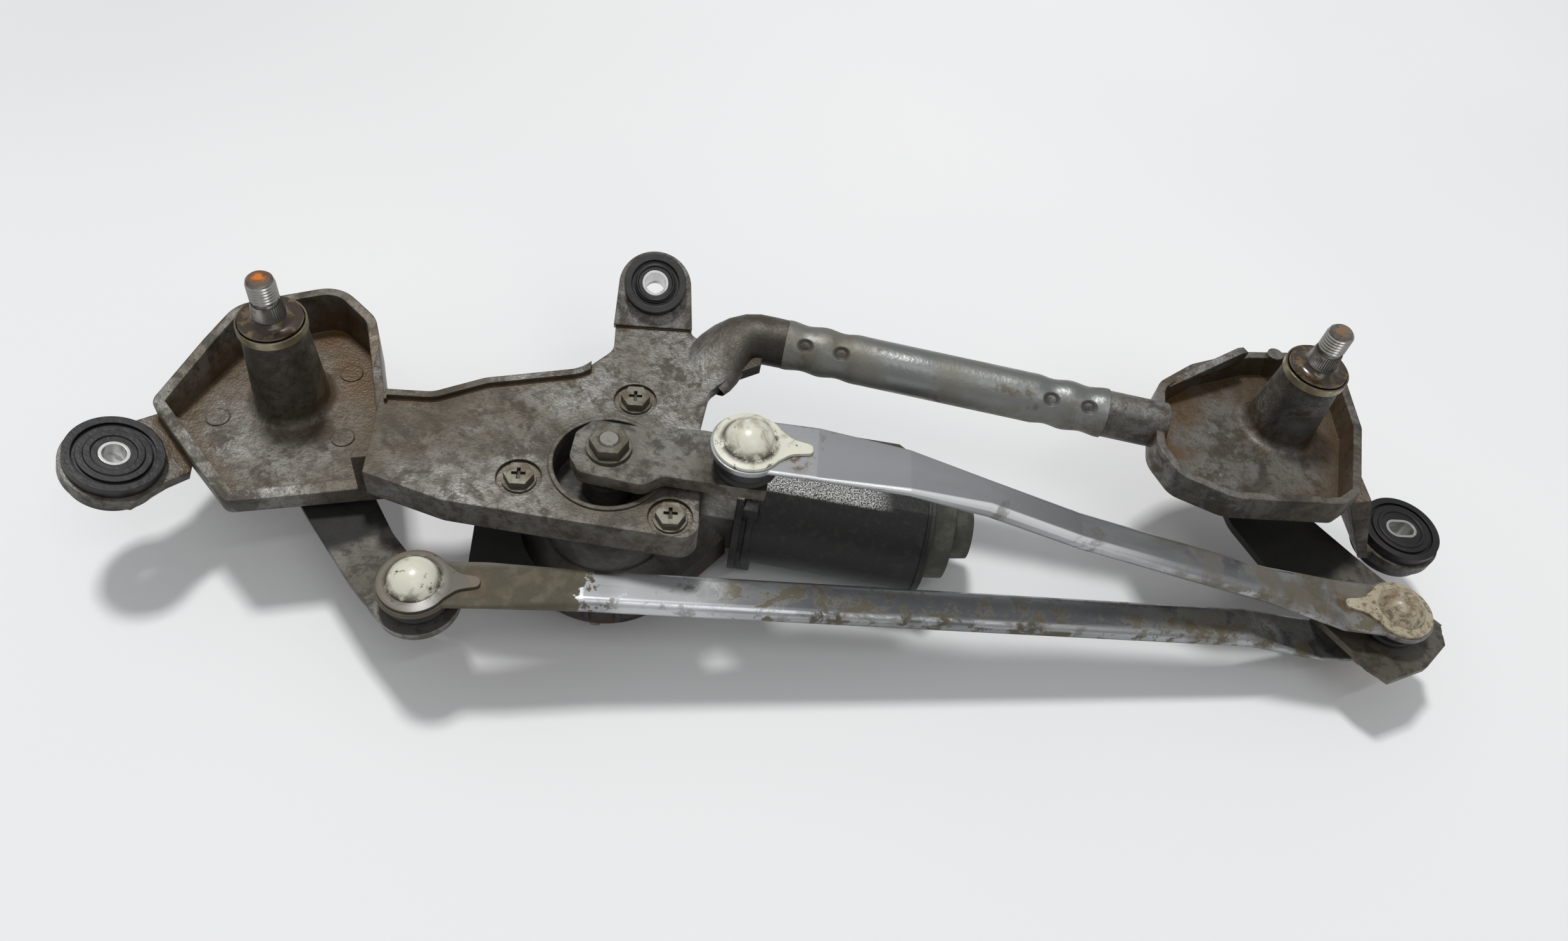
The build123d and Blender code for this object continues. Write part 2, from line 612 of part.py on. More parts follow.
LEFT_END = LEFT_LEVER_LENGTH
LEFT_WEB = (
    (0, LEVER_HUB_R, 0), (0.5 * LEFT_END, 7.5, 40), (0.71 * LEFT_END, 5.4, 20), (LEFT_END - 17, 6.5, 12),
    (LEFT_END - 8, 13.8, 0), (LEFT_END, 0, 0), (LEFT_END, -LEVER_END_R, 0), (LEFT_END - 20, -18, 12),
    (0.46 * LEFT_END, -18.5, 40), (0, -LEVER_HUB_R, 0),
)
RIGHT_END = RIGHT_LEVER_LENGTH
RIGHT_WEB = (
    (0, LEVER_HUB_R, 0), (0.28 * RIGHT_END, 11, 30), (0.74 * RIGHT_END, 16.5, 30), (RIGHT_END + 12, 23.5, 0),
    (RIGHT_END + 12, -23, 0), (0.6 * RIGHT_END, -28, 60), (0.2 * RIGHT_END, -25, 20), (0, -LEVER_HUB_R, 0),
)
RIGHT_PLATE = (
    (RIGHT_END + 11, 23.5, 0), (RIGHT_END + 19.5, 16.5, 1), (RIGHT_END + 23, 0, 2), (RIGHT_END + 20, -20, 1),
    (RIGHT_END + 11, -23, 0),
)
RIGHT_NOTCHES = ((RIGHT_END + 16.5, 22), (RIGHT_END + 17, -23.5))
lever("left", LEFT_X, LEFT_Y, LEFT_LEVER_Z, LEFT_LEVER_LENGTH, LEFT_LEVER_ANGLE, LEFT_WEB, None, ())
lever("right", RIGHT_X, RIGHT_Y, RIGHT_LEVER_Z, RIGHT_LEVER_LENGTH, RIGHT_LEVER_ANGLE,
      RIGHT_WEB, RIGHT_PLATE, RIGHT_NOTCHES)


def stud_profile(x, face_z, up, lift, rise):
    # Half outline of a ball stud that stands on a face, lifted off it by a small gap.
    base = face_z + up * lift
    centre = face_z + up * rise
    under = sqrt(BALL_R ** 2 - NECK_R ** 2)
    Line((x, base), (x + STUD_BASE_R, base))
    Line((x + STUD_BASE_R, base), (x + STUD_BASE_R, base + up * STUD_BASE_T))
    Line((x + STUD_BASE_R, base + up * STUD_BASE_T), (x + NECK_R, base + up * STUD_BASE_T))
    Line((x + NECK_R, base + up * STUD_BASE_T), (x + NECK_R, centre - up * under))
    ThreePointArc((x + NECK_R, centre - up * under), (x + BALL_R, centre), (x, centre + up * BALL_R))
    Line((x, centre + up * BALL_R), (x, base))


def ball_stud(name, x, y, face_z, up, lift, stem, rise=BALL_RISE):
    with BuildPart() as stud:
        with BuildSketch(Plane.XZ.offset(-y)):
            with BuildLine():
                stud_profile(x, face_z, up, lift, rise)
            make_face()
        revolve(axis=Axis((x, y, 0), (0, 0, 1)))
        if stem:
            # Riveted stem through the arm or lever.
            with BuildSketch(level(x, y, face_z)):
                Circle(NECK_R)
            extrude(amount=-up * stem)
    finish(stud, name)


ball_stud("crank_ball_stud", CRANK_BALL[0], CRANK_BALL[1], ARM_TOP_Z, 1, 0, ARM_T, CRANK_BALL_RISE)
ball_stud("left_ball_stud", LEFT_BALL[0], LEFT_BALL[1], LEFT_LEVER_Z, 1, OPEN_GAP, 0)
ball_stud("right_upper_ball_stud", RIGHT_BALL[0], RIGHT_BALL[1], RIGHT_LEVER_Z, 1, OPEN_GAP, 0)
ball_stud("right_lower_ball_stud", RIGHT_BALL[0], RIGHT_BALL[1], RIGHT_LEVER_Z - LEVER_T, -1, 0, LEVER_T)


def socket(name, x, y, centre_z, up, heading):
    # Domed cup round the ball, with a rim and a tail that rest on the rod's end.
    rim = centre_z + up * SOCKET_RIM_RISE
    mouth = centre_z - up * SOCKET_MOUTH
    shoulder = rim + up * (SOCKET_RIM_T + 0.4)
    dome_foot = sqrt(SOCKET_R ** 2 - (shoulder - centre_z) ** 2)
    dome_slant = SOCKET_R * sin(radians(45))
    hollow_r = BALL_R + FIT_GAP
    mouth_r = sqrt(hollow_r ** 2 - SOCKET_MOUTH ** 2)
    with BuildPart() as cup:
        with BuildSketch(Plane.XZ.offset(-y)):
            with BuildLine():
                Polyline((x + mouth_r, mouth), (x + SOCKET_THROAT_R, mouth), (x + SOCKET_THROAT_R, rim),
                         (x + SOCKET_RIM_R, rim), (x + SOCKET_RIM_R, rim + up * SOCKET_RIM_T),
                         (x + dome_foot, shoulder))
                ThreePointArc((x + dome_foot, shoulder),
                              (x + dome_slant, centre_z + up * dome_slant),
                              (x, centre_z + up * SOCKET_R))
                Line((x, centre_z + up * SOCKET_R), (x, centre_z + up * hollow_r))
                ThreePointArc((x, centre_z + up * hollow_r), (x + hollow_r, centre_z), (x + mouth_r, mouth))
            make_face()
        revolve(axis=Axis((x, y, 0), (0, 0, 1)))
        foot = level(x, y, min(rim, rim + up * SOCKET_RIM_T)).rotated((0, 0, heading))
        with BuildSketch(foot):
            outlined((6, 12, 0), (16, 3.6, 8), (TAIL_REACH, TAIL_TIP, TAIL_TIP - 0.1),
                     (TAIL_REACH, -TAIL_TIP, TAIL_TIP - 0.1), (16, -3.6, 8), (6, -12, 0))
            Circle(SOCKET_R, mode=Mode.SUBTRACT)
        extrude(amount=SOCKET_RIM_T)
    finish(cup, name)


def boot(name, x, y, face_z, up, rise=BALL_RISE):
    # Rubber boot between the carrying face and the rod's end.
    low = face_z + up * OPEN_GAP
    high = face_z + up * (rise + SOCKET_RIM_RISE - ROD_T)
    inner = STUD_BASE_R + 0.6
    throat = SOCKET_THROAT_R + SEAT_GAP
    mouth = face_z + up * (rise - SOCKET_MOUTH)
    with BuildPart() as rubber:
        with BuildSketch(Plane.XZ.offset(-y)):
            with BuildLine():
                Polyline((x + inner, low), (x + BOOT_R - 1.5, low), (x + BOOT_R, low + up * 2),
                         (x + BOOT_R - 0.8, low + up * 3.6), (x + BOOT_R, low + up * 5.2), (x + BOOT_R, high),
                         (x + throat, high), (x + throat, mouth), (x + inner, mouth - up * 0.7), close=True)
            make_face()
        revolve(axis=Axis((x, y, 0), (0, 0, 1)))
    finish(rubber, name)


UPPER_HEADING = degrees(atan2(RIGHT_BALL[1] - CRANK_BALL[1], RIGHT_BALL[0] - CRANK_BALL[0]))
LOWER_HEADING = degrees(atan2(RIGHT_BALL[1] - LEFT_BALL[1], RIGHT_BALL[0] - LEFT_BALL[0]))
socket("crank_socket", CRANK_BALL[0], CRANK_BALL[1], CRANK_BALL_Z, 1, UPPER_HEADING)
socket("right_upper_socket", RIGHT_BALL[0], RIGHT_BALL[1], RIGHT_UPPER_BALL_Z, 1, UPPER_HEADING + 180)
socket("right_lower_socket", RIGHT_BALL[0], RIGHT_BALL[1], RIGHT_LOWER_BALL_Z, -1, LOWER_HEADING + 180)
socket("left_socket", LEFT_BALL[0], LEFT_BALL[1], LEFT_BALL_Z, 1, LOWER_HEADING)
boot("crank_boot", CRANK_BALL[0], CRANK_BALL[1], ARM_TOP_Z, 1, CRANK_BALL_RISE)
boot("right_upper_boot", RIGHT_BALL[0], RIGHT_BALL[1], RIGHT_LEVER_Z, 1)
boot("right_lower_boot", RIGHT_BALL[0], RIGHT_BALL[1], RIGHT_LEVER_Z - LEVER_T, -1)
boot("left_boot", LEFT_BALL[0], LEFT_BALL[1], LEFT_LEVER_Z, 1)


def rod(name, start, start_low, end, end_low, flat_width, middle):
    # A pressed bar: flat round ends under the sockets' rims, and a rounded body between them.
    # middle lists distance from the start, width, depth and height of the underside.
    run = hypot(end[0] - start[0], end[1] - start[1])
    heading = degrees(atan2(end[1] - start[1], end[0] - start[0]))
    frame = Plane(origin=(start[0], start[1], 0)).rotated((0, 0, heading))
    stations = [(0, flat_width, ROD_T, start_low), (ROD_FLAT, flat_width, ROD_T, start_low)] + middle
    stations += [(run - ROD_FLAT, flat_width, ROD_T, end_low), (run, flat_width, ROD_T, end_low)]
    with BuildPart() as bar:
        for place, wide, deep, low in stations:
            section = Plane(origin=frame.from_local_coords(Vector(place, 0, low + deep / 2)),
                            x_dir=frame.y_dir, z_dir=frame.x_dir)
            with BuildSketch(section):
                RectangleRounded(wide, deep, min(deep, wide) * 0.42)
        loft(ruled=True)
        for centre, low in ((start, start_low), (end, end_low)):
            with BuildSketch(level(centre[0], centre[1], low)):
                Circle(ROD_END_R)
            extrude(amount=ROD_T)
        for centre, low in ((start, start_low), (end, end_low)):
            with BuildSketch(level(centre[0], centre[1], low - 1)):
                Circle(SOCKET_THROAT_R + SEAT_GAP)
            extrude(amount=ROD_T + 2, mode=Mode.SUBTRACT)
    finish(bar, name)


CRANK_LOW = CRANK_BALL_Z + SOCKET_RIM_RISE - ROD_T
RIGHT_UPPER_LOW = RIGHT_UPPER_BALL_Z + SOCKET_RIM_RISE - ROD_T
RIGHT_LOWER_LOW = RIGHT_LOWER_BALL_Z - SOCKET_RIM_RISE
LEFT_LOW = LEFT_BALL_Z + SOCKET_RIM_RISE - ROD_T
UPPER_RUN = hypot(RIGHT_BALL[0] - CRANK_BALL[0], RIGHT_BALL[1] - CRANK_BALL[1])
LOWER_RUN = hypot(RIGHT_BALL[0] - LEFT_BALL[0], RIGHT_BALL[1] - LEFT_BALL[1])
rod("upper_rod", CRANK_BALL, CRANK_LOW, RIGHT_BALL, RIGHT_UPPER_LOW, UPPER_FLAT_WIDTH, [
    (CRANK_KNEE, *KNEE_SIZE, NUT_TOP_Z + THREAD_OVER_NUT + NUT_CLEARANCE),
    (KNEE_NARROW[0], *UPPER_ROD, KNEE_NARROW[1]),
    (UPPER_BEND[0], *UPPER_ROD, UPPER_BEND[1]),
    (UPPER_RUN - ROD_TAPER, *UPPER_ROD, RIGHT_UPPER_LOW + UPPER_STEP),
])
rod("lower_rod", LEFT_BALL, LEFT_LOW, RIGHT_BALL, RIGHT_LOWER_LOW, LOWER_FLAT_WIDTH, [
    (ROD_TAPER, *LOWER_ROD, LEFT_LOW - LOWER_DIP),
    (LOWER_RUN - ROD_TAPER, *LOWER_ROD, RIGHT_LOWER_LOW + LOWER_STEP),
])

# Crank arm, its nut and the output shaft with the worm wheel.
with BuildPart() as crank_arm:
    with BuildSketch(Plane.XY.offset(ARM_Z).rotated((0, 0, CRANK_ANGLE))):
        outlined((-13.5, 6, 4), (-7.5, 13.4, 5), (10, 12.6, 30), (0.67 * CRANK_LENGTH, 15, 20),
                 (CRANK_LENGTH + 9, 13, 6), (CRANK_LENGTH + 9, -11, 1.5), (22, -10, 5), (15, -15.5, 6),
                 (-9.5, -13, 4), (-14, -6, 4))
        Circle(STUD_R + SEAT_GAP, mode=Mode.SUBTRACT)
        with Locations((CRANK_LENGTH, 0)):
            Circle(NECK_R + SEAT_GAP, mode=Mode.SUBTRACT)
    extrude(amount=ARM_T)
finish(crank_arm, "crank_arm")

with BuildPart() as crank_nut:
    with BuildSketch(Plane.XY.offset(ARM_TOP_Z)):
        Circle(NUT_FLANGE_R)
    extrude(amount=NUT_FLANGE_T)
    with BuildSketch(Plane.XY.offset(ARM_TOP_Z + NUT_FLANGE_T)):
        RegularPolygon(NUT_FLATS / 2, 6, major_radius=False)
    extrude(amount=NUT_H - NUT_FLANGE_T)
    with BuildSketch(Plane.XY.offset(ARM_TOP_Z)):
        Circle(STUD_R + SEAT_GAP)
    extrude(amount=NUT_H, mode=Mode.SUBTRACT)
finish(crank_nut, "crank_nut")

WHEEL_Z = WORM_Z - WHEEL_T / 2
WHEEL_TOP_Z = WORM_Z + WHEEL_T / 2
BUSH_SEAT_R = OUTPUT_R + 2.5
with BuildPart() as output_shaft:
    with BuildSketch(Plane.XZ):
        with BuildLine():
            Polyline((0, COVER_Z + COVER_T + 0.5), (OUTPUT_R, COVER_Z + COVER_T + 0.5), (OUTPUT_R, ARM_Z),
                     (STUD_R, ARM_Z), (STUD_R, NUT_TOP_Z),
                     (STUD_R - THREAD_OVER_NUT, NUT_TOP_Z + THREAD_OVER_NUT),
                     (0, NUT_TOP_Z + THREAD_OVER_NUT), close=True)
        make_face()
    revolve(axis=Axis.Z)
finish(output_shaft, "output_shaft")

with BuildPart() as worm_wheel:
    with BuildSketch(Plane.XY.offset(WHEEL_Z)):
        Circle(WHEEL_R - TOOTH_H / 2)
        with PolarLocations(WHEEL_R - TOOTH_H / 2, TEETH):
            Rectangle(TOOTH_H, pi * WHEEL_R / TEETH)
        Circle(OUTPUT_R + SEAT_GAP, mode=Mode.SUBTRACT)
    extrude(amount=WHEEL_T)
finish(worm_wheel, "worm_wheel")

# Gear housing: a wide case for the worm wheel, a collar up to the plate and a mouth for the motor.
HOUSING_FLOOR_Z = COVER_Z + COVER_T
HOUSING_BODY = (
    (-HOUSING_R + 4, -12, 0), (-HOUSING_R + 2, WORM_OFFSET + 11.4, 0), (34, WORM_OFFSET + 17.4, 0),
    (YOKE_START + 1, WORM_OFFSET + 11.4, 0), (YOKE_START - 1, 2, 0), (30, -20, 0),
)


def cover_screw_places():
    return [polar(0, 0, (HOUSING_R + WHEEL_R + WHEEL_ROOM_GAP) / 2, turn) for turn in COVER_SCREW_TURNS]


with BuildPart() as gear_housing:
    with BuildSketch(Plane.XY.offset(HOUSING_FLOOR_Z)):
        Circle(HOUSING_R)
        outlined(*HOUSING_BODY)
    extrude(amount=HOUSING_TOP_Z - HOUSING_FLOOR_Z)
    # The upper edge is bevelled, so that the lower rod clears it at the end of the stroke.
    chamfer(gear_housing.faces().sort_by(Axis.Z)[-1].outer_wire().edges(), HOUSING_BEVEL)
    with BuildSketch(motor_plane(MOUTH_START)):
        Circle(MOUTH_R)
        Rectangle(2 * (WORM_Z - HOUSING_FLOOR_Z), 3 * MOUTH_R, mode=Mode.INTERSECT)
    extrude(amount=YOKE_START - MOUTH_START)
    with BuildSketch(Plane.XY.offset(HOUSING_TOP_Z)):
        Circle(COLLAR_R)
    extrude(amount=-PLATE_T - HOUSING_TOP_Z)
    with BuildSketch(Plane.XY.offset(POST_FOOT_Z)):
        with Locations(*screw_places(SCREW_CIRCLE_R)):
            Circle(POST_R)
        with PolarLocations(SCREW_CIRCLE_R / 2, 3, start_angle=SCREW_ANGLE):
            Rectangle(SCREW_CIRCLE_R, 2 * POST_R - 2)
    extrude(amount=-PLATE_T - POST_FOOT_Z)
    # Wheel room, worm room, shaft bore and the recess inside the collar.
    with BuildSketch(Plane.XY.offset(HOUSING_FLOOR_Z)):
        Circle(WHEEL_R + WHEEL_ROOM_GAP)
    extrude(amount=WHEEL_TOP_Z + 1.0 - HOUSING_FLOOR_Z, mode=Mode.SUBTRACT)
    with BuildSketch(motor_plane(-WORM_LENGTH / 2 - 12)):
        Circle(WORM_ROOM_R)
    extrude(amount=WORM_LENGTH / 2 + 12 + YOKE_START, mode=Mode.SUBTRACT)
    with BuildSketch(Plane.XY.offset(-16)):
        Circle(HOLE_R)
        Circle(OUTPUT_R + 5, mode=Mode.SUBTRACT)
    extrude(amount=16, mode=Mode.SUBTRACT)
    Cylinder(BUSH_SEAT_R, 200, mode=Mode.SUBTRACT)
    with BuildSketch(Plane.XY.offset(-20)):
        with Locations(*screw_places(SCREW_CIRCLE_R)):
            Circle(SCREW_R + SEAT_GAP)
    extrude(amount=20, mode=Mode.SUBTRACT)
    with BuildSketch(Plane.XY.offset(HOUSING_FLOOR_Z)):
        with Locations(*cover_screw_places()):
            Circle(COVER_SCREW_R + SEAT_GAP)
    extrude(amount=4, mode=Mode.SUBTRACT)
finish(gear_housing, "gear_housing")

with BuildPart() as output_bush:
    with BuildSketch(Plane.XY.offset(WHEEL_TOP_Z + WHEEL_ROOM_GAP)):
        Circle(BUSH_SEAT_R - SEAT_GAP)
        Circle(OUTPUT_R + FIT_GAP, mode=Mode.SUBTRACT)
    extrude(amount=-PLATE_T - 2 - WHEEL_TOP_Z - WHEEL_ROOM_GAP)
finish(output_bush, "output_bush")

with BuildPart() as gear_cover:
    with BuildSketch(Plane.XY.offset(COVER_Z)):
        Circle(HOUSING_R)
        outlined(*HOUSING_BODY)
        with Locations(*cover_screw_places()):
            Circle(COVER_SCREW_R + SEAT_GAP, mode=Mode.SUBTRACT)
    extrude(amount=COVER_T)
finish(gear_cover, "gear_cover")

with BuildPart() as cover_screws:
    with BuildSketch(Plane.XY.offset(COVER_Z)):
        with Locations(*cover_screw_places()):
            Circle(COVER_SCREW_R)
    extrude(amount=COVER_T + 3)
    with BuildSketch(Plane.XY.offset(COVER_Z - COVER_SCREW_HEAD_T)):
        with Locations(*cover_screw_places()):
            RegularPolygon(COVER_SCREW_HEAD_R, 6)
    extrude(amount=COVER_SCREW_HEAD_T)
finish(cover_screws, "cover_screws")

with BuildPart() as plate_screws:
    with BuildSketch(Plane.XY.offset(-19)):
        with Locations(*screw_places(SCREW_CIRCLE_R)):
            Circle(SCREW_R)
    extrude(amount=19 - SCREW_SEAT_DEPTH)
    with BuildSketch(Plane.XY.offset(-SCREW_SEAT_DEPTH)):
        with Locations(*screw_places(SCREW_CIRCLE_R)):
            Circle(SCREW_FLATS / 2 + 1.6)
    extrude(amount=1.0)
    with BuildSketch(Plane.XY.offset(1.0 - SCREW_SEAT_DEPTH)):
        with Locations(*screw_places(SCREW_CIRCLE_R)):
            RegularPolygon(SCREW_FLATS / 2, 6, major_radius=False)
    extrude(amount=SCREW_HEAD_T - 1.0)
    with BuildSketch(Plane.XY.offset(SCREW_HEAD_T - SCREW_SEAT_DEPTH)):
        with Locations(*screw_places(SCREW_CIRCLE_R)):
            Rectangle(CROSS_LENGTH, CROSS_WIDTH)
            Rectangle(CROSS_WIDTH, CROSS_LENGTH)
    extrude(amount=-CROSS_DEPTH, mode=Mode.SUBTRACT)
finish(plate_screws, "plate_screws")

# Motor yoke with its flange, end cup and bearing boss.
YOKE_END = YOKE_START + YOKE_LENGTH
with BuildPart() as motor_yoke:
    with BuildSketch(motor_plane(YOKE_START)):
        Circle(FLANGE_R)
        Rectangle(2 * YOKE_FLAT + 4, 3 * FLANGE_R, mode=Mode.INTERSECT)
    extrude(amount=FLANGE_T)
    with BuildSketch(motor_plane(YOKE_START)):
        Circle(YOKE_R)
        Rectangle(2 * YOKE_FLAT, 3 * YOKE_R, mode=Mode.INTERSECT)
    extrude(amount=YOKE_LENGTH)
    with BuildSketch(motor_plane(YOKE_END)):
        Circle(END_CUP_R)
    extrude(amount=END_CUP_T, taper=8)
    with BuildSketch(motor_plane(YOKE_END + END_CUP_T)):
        Circle(END_BOSS_R)
    extrude(amount=END_BOSS_T - END_CUP_T, taper=10)
    # Drawn can: round room for the magnets, and the bearing seat in the end cup.
    with BuildSketch(motor_plane(YOKE_START)):
        Circle(YOKE_FLAT - YOKE_WALL)
    extrude(amount=YOKE_LENGTH - YOKE_WALL, mode=Mode.SUBTRACT)
    with BuildSketch(motor_plane(YOKE_START)):
        Circle(BEARING_R)
    extrude(amount=YOKE_LENGTH + END_BOSS_T - 3, mode=Mode.SUBTRACT)
finish(motor_yoke, "motor_yoke")

MAGNET_R = YOKE_FLAT - YOKE_WALL - SEAT_GAP
CORE_R = MAGNET_R - MAGNET_T - AIR_GAP


def ring(name, along, length, outer, inner):
    # A round piece on the motor's axis.
    with BuildPart() as piece:
        with BuildSketch(motor_plane(along)):
            Circle(outer)
            Circle(inner, mode=Mode.SUBTRACT)
        extrude(amount=length)
    finish(piece, name)


with BuildPart() as field_magnets:
    with BuildSketch(motor_plane(YOKE_START + MAGNET_START)):
        Circle(MAGNET_R)
        Circle(MAGNET_R - MAGNET_T, mode=Mode.SUBTRACT)
        Rectangle(MAGNET_SPLIT, 3 * MAGNET_R, mode=Mode.SUBTRACT)
    extrude(amount=MAGNET_LENGTH)
finish(field_magnets, "field_magnets")

with BuildPart() as armature_core:
    with BuildSketch(motor_plane(YOKE_START + CORE_START)):
        Circle(CORE_R)
        with PolarLocations(CORE_R - SLOT_DEPTH / 2 + 0.5, CORE_SLOTS):
            Rectangle(SLOT_DEPTH, SLOT_WIDTH, mode=Mode.SUBTRACT)
        Circle(AXLE_R + SEAT_GAP, mode=Mode.SUBTRACT)
    extrude(amount=CORE_LENGTH)
finish(armature_core, "armature_core")

with BuildPart() as armature_shaft:
    with BuildSketch(motor_plane(-WORM_LENGTH / 2 - 8)):
        Circle(AXLE_R)
    extrude(amount=WORM_LENGTH / 2 + 8 + YOKE_END + END_BOSS_T - 4)
    with BuildSketch(motor_plane(-WORM_LENGTH / 2)):
        Circle(WORM_R)
    extrude(amount=WORM_LENGTH)
finish(armature_shaft, "armature_shaft")

ring("commutator", YOKE_START + COMMUTATOR_START, COMMUTATOR_LENGTH, COMMUTATOR_R, AXLE_R + SEAT_GAP)
ring("rear_bearing", YOKE_END + 1, BEARING_T, BEARING_R - SEAT_GAP, AXLE_R + FIT_GAP)
ring("front_bearing", YOKE_START - 12, BEARING_T + 1, WORM_ROOM_R - SEAT_GAP, AXLE_R + FIT_GAP)
ring("brush_holder", YOKE_START + 0.5, HOLDER_T, MAGNET_R, COMMUTATOR_R + 1)

with BuildPart() as brushes:
    for side in (-1, 1):
        with BuildSketch(motor_plane(YOKE_START + 0.5 + HOLDER_T)):
            with Locations((0, side * (COMMUTATOR_R + 0.5 + BRUSH_LENGTH / 2))):
                Rectangle(BRUSH_WIDTH, BRUSH_LENGTH)
        extrude(amount=BRUSH_WIDTH)
finish(brushes, "brushes")

# Connector socket at the left of the gear housing.
with BuildPart() as connector:
    with BuildSketch(Plane.YZ.offset(-HOUSING_R - PLUG_REACH)):
        with Locations((PLUG_Y, PLUG_Z)):
            RectangleRounded(PLUG_WIDTH, PLUG_HEIGHT, PLUG_WALL)
    extrude(amount=PLUG_REACH + 8)
    with BuildSketch(Plane.YZ.offset(-HOUSING_R - PLUG_REACH)):
        with Locations((PLUG_Y, PLUG_Z)):
            RectangleRounded(PLUG_WIDTH - 2 * PLUG_WALL, PLUG_HEIGHT - 2 * PLUG_WALL, PLUG_WALL / 2)
    extrude(amount=PLUG_DEPTH, mode=Mode.SUBTRACT)
    Cylinder(HOUSING_R + SEAT_GAP, 200, mode=Mode.SUBTRACT)
finish(connector, "connector")
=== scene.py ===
import json
import math

import bpy
from mathutils import Matrix, Vector


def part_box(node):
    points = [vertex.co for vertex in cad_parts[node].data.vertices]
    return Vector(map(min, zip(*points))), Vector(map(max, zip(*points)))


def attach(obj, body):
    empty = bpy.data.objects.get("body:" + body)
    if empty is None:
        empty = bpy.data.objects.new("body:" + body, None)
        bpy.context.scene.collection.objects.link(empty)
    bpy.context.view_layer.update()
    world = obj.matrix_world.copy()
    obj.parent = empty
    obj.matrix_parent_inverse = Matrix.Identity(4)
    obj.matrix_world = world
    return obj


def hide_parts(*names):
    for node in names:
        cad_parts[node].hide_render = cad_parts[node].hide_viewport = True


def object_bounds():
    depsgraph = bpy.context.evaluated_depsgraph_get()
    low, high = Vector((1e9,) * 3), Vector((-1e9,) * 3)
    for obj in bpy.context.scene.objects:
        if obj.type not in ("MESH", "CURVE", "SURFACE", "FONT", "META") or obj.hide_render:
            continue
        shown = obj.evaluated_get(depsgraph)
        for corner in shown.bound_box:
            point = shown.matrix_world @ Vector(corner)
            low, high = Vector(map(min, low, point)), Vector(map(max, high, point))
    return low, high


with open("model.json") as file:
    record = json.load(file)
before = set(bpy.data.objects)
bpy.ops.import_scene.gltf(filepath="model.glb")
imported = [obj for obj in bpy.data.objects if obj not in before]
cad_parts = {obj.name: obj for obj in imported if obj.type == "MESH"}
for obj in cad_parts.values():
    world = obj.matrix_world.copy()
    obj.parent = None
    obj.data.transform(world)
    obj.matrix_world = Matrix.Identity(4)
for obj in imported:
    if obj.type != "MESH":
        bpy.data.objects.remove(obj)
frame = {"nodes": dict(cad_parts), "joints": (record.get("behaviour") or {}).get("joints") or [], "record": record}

cad_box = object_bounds()
nodes = frame["nodes"]
scene = bpy.context.scene
Z_AXIS = Vector((0, 0, 1))

# Camera, solved from circles in the photograph, in metres.
CAMERA_SPOT = (0.0133, -0.2863, 0.3613)
CAMERA_RIGHT = (0.992, -0.030, 0.126)
CAMERA_BACK = (-0.118, -0.618, 0.777)
CAMERA_LENS = 27.19

camera_data = bpy.data.cameras.new("photo_camera")
camera_data.sensor_width = 36.0
camera_data.lens = CAMERA_LENS
camera_data.clip_start = 0.01
camera_data.clip_end = 20.0
camera = bpy.data.objects.new("photo_camera", camera_data)
scene.collection.objects.link(camera)
back = Vector(CAMERA_BACK).normalized()
up = back.cross(Vector(CAMERA_RIGHT).normalized()).normalized()
right = up.cross(back)
turned = Matrix((right, up, back)).transposed().to_4x4()
camera.matrix_world = Matrix.Translation(CAMERA_SPOT) @ turned
scene.camera = camera

# Places in millimetres. Those of the joints, mounts and shaft tips come from the frame.
MM = 0.001
LEFT_BALL = Vector((-68.54, -43.59, -24.0))
entries = frame["joints"] + frame["record"]["mounts"]
places = {entry["name"]: Vector(entry["pos_m"]) / MM for entry in entries}
axes = {entry["name"]: Vector(entry["axis"]) for entry in entries}
left_shaft = places["left_wiper_swing"]
right_shaft = places["right_wiper_swing"]
left_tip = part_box("left_pivot_shaft")[1].z / MM
right_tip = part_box("right_pivot_shaft")[1].z / MM
crank_ball = places["crank_rod_turn"]
right_ball = places["tie_rod_turn"]

# The cross tube in millimetres. Its dimples lean to the front, two near each end, where it is narrower.
TUBE_START = Vector((71.0, 70.0, 0.0))
TUBE_REACH = Vector((136.0, -28.0, 0.0))
TUBE_R = 10.5
TUBE_WALL = 1.6
TUBE_STEPS = 70
ROLLED_REACH = 36.0
ROLLED_FADE = 10.0
ROLLED_DEPTH = 0.3
WAVE_DEPTH = 0.45
WAVE_PITCH = 15.5
WAIST_R = 10.0
DIMPLE_R = 4.2
DIMPLE_DEPTH = 2.0
DIMPLE_LEAN = math.radians(38)
END_DIMPLE = 8.5
NEXT_LEFT_DIMPLE = 24.0
NEXT_RIGHT_DIMPLE = 24.5
tube_way = TUBE_REACH.normalized()
tube_length = TUBE_REACH.length
facing_out = math.cos(DIMPLE_LEAN) * Z_AXIS + math.sin(DIMPLE_LEAN) * tube_way.cross(Z_AXIS)
dimple_reaches = (END_DIMPLE, NEXT_LEFT_DIMPLE, tube_length - NEXT_RIGHT_DIMPLE, tube_length - END_DIMPLE)
dimples = [TUBE_START + tube_way * reach for reach in dimple_reaches]


def level(place, z):
    """The point at this height straight above or below a place."""
    return Vector((place.x, place.y, z))


def srgb(red, green, blue):
    """A colour given in the 0 to 255 steps of a picture, as linear RGBA."""
    def linear(step):
        value = step / 255
        return value / 12.92 if value <= 0.04045 else ((value + 0.055) / 1.055) ** 2.4
    return (linear(red), linear(green), linear(blue), 1.0)


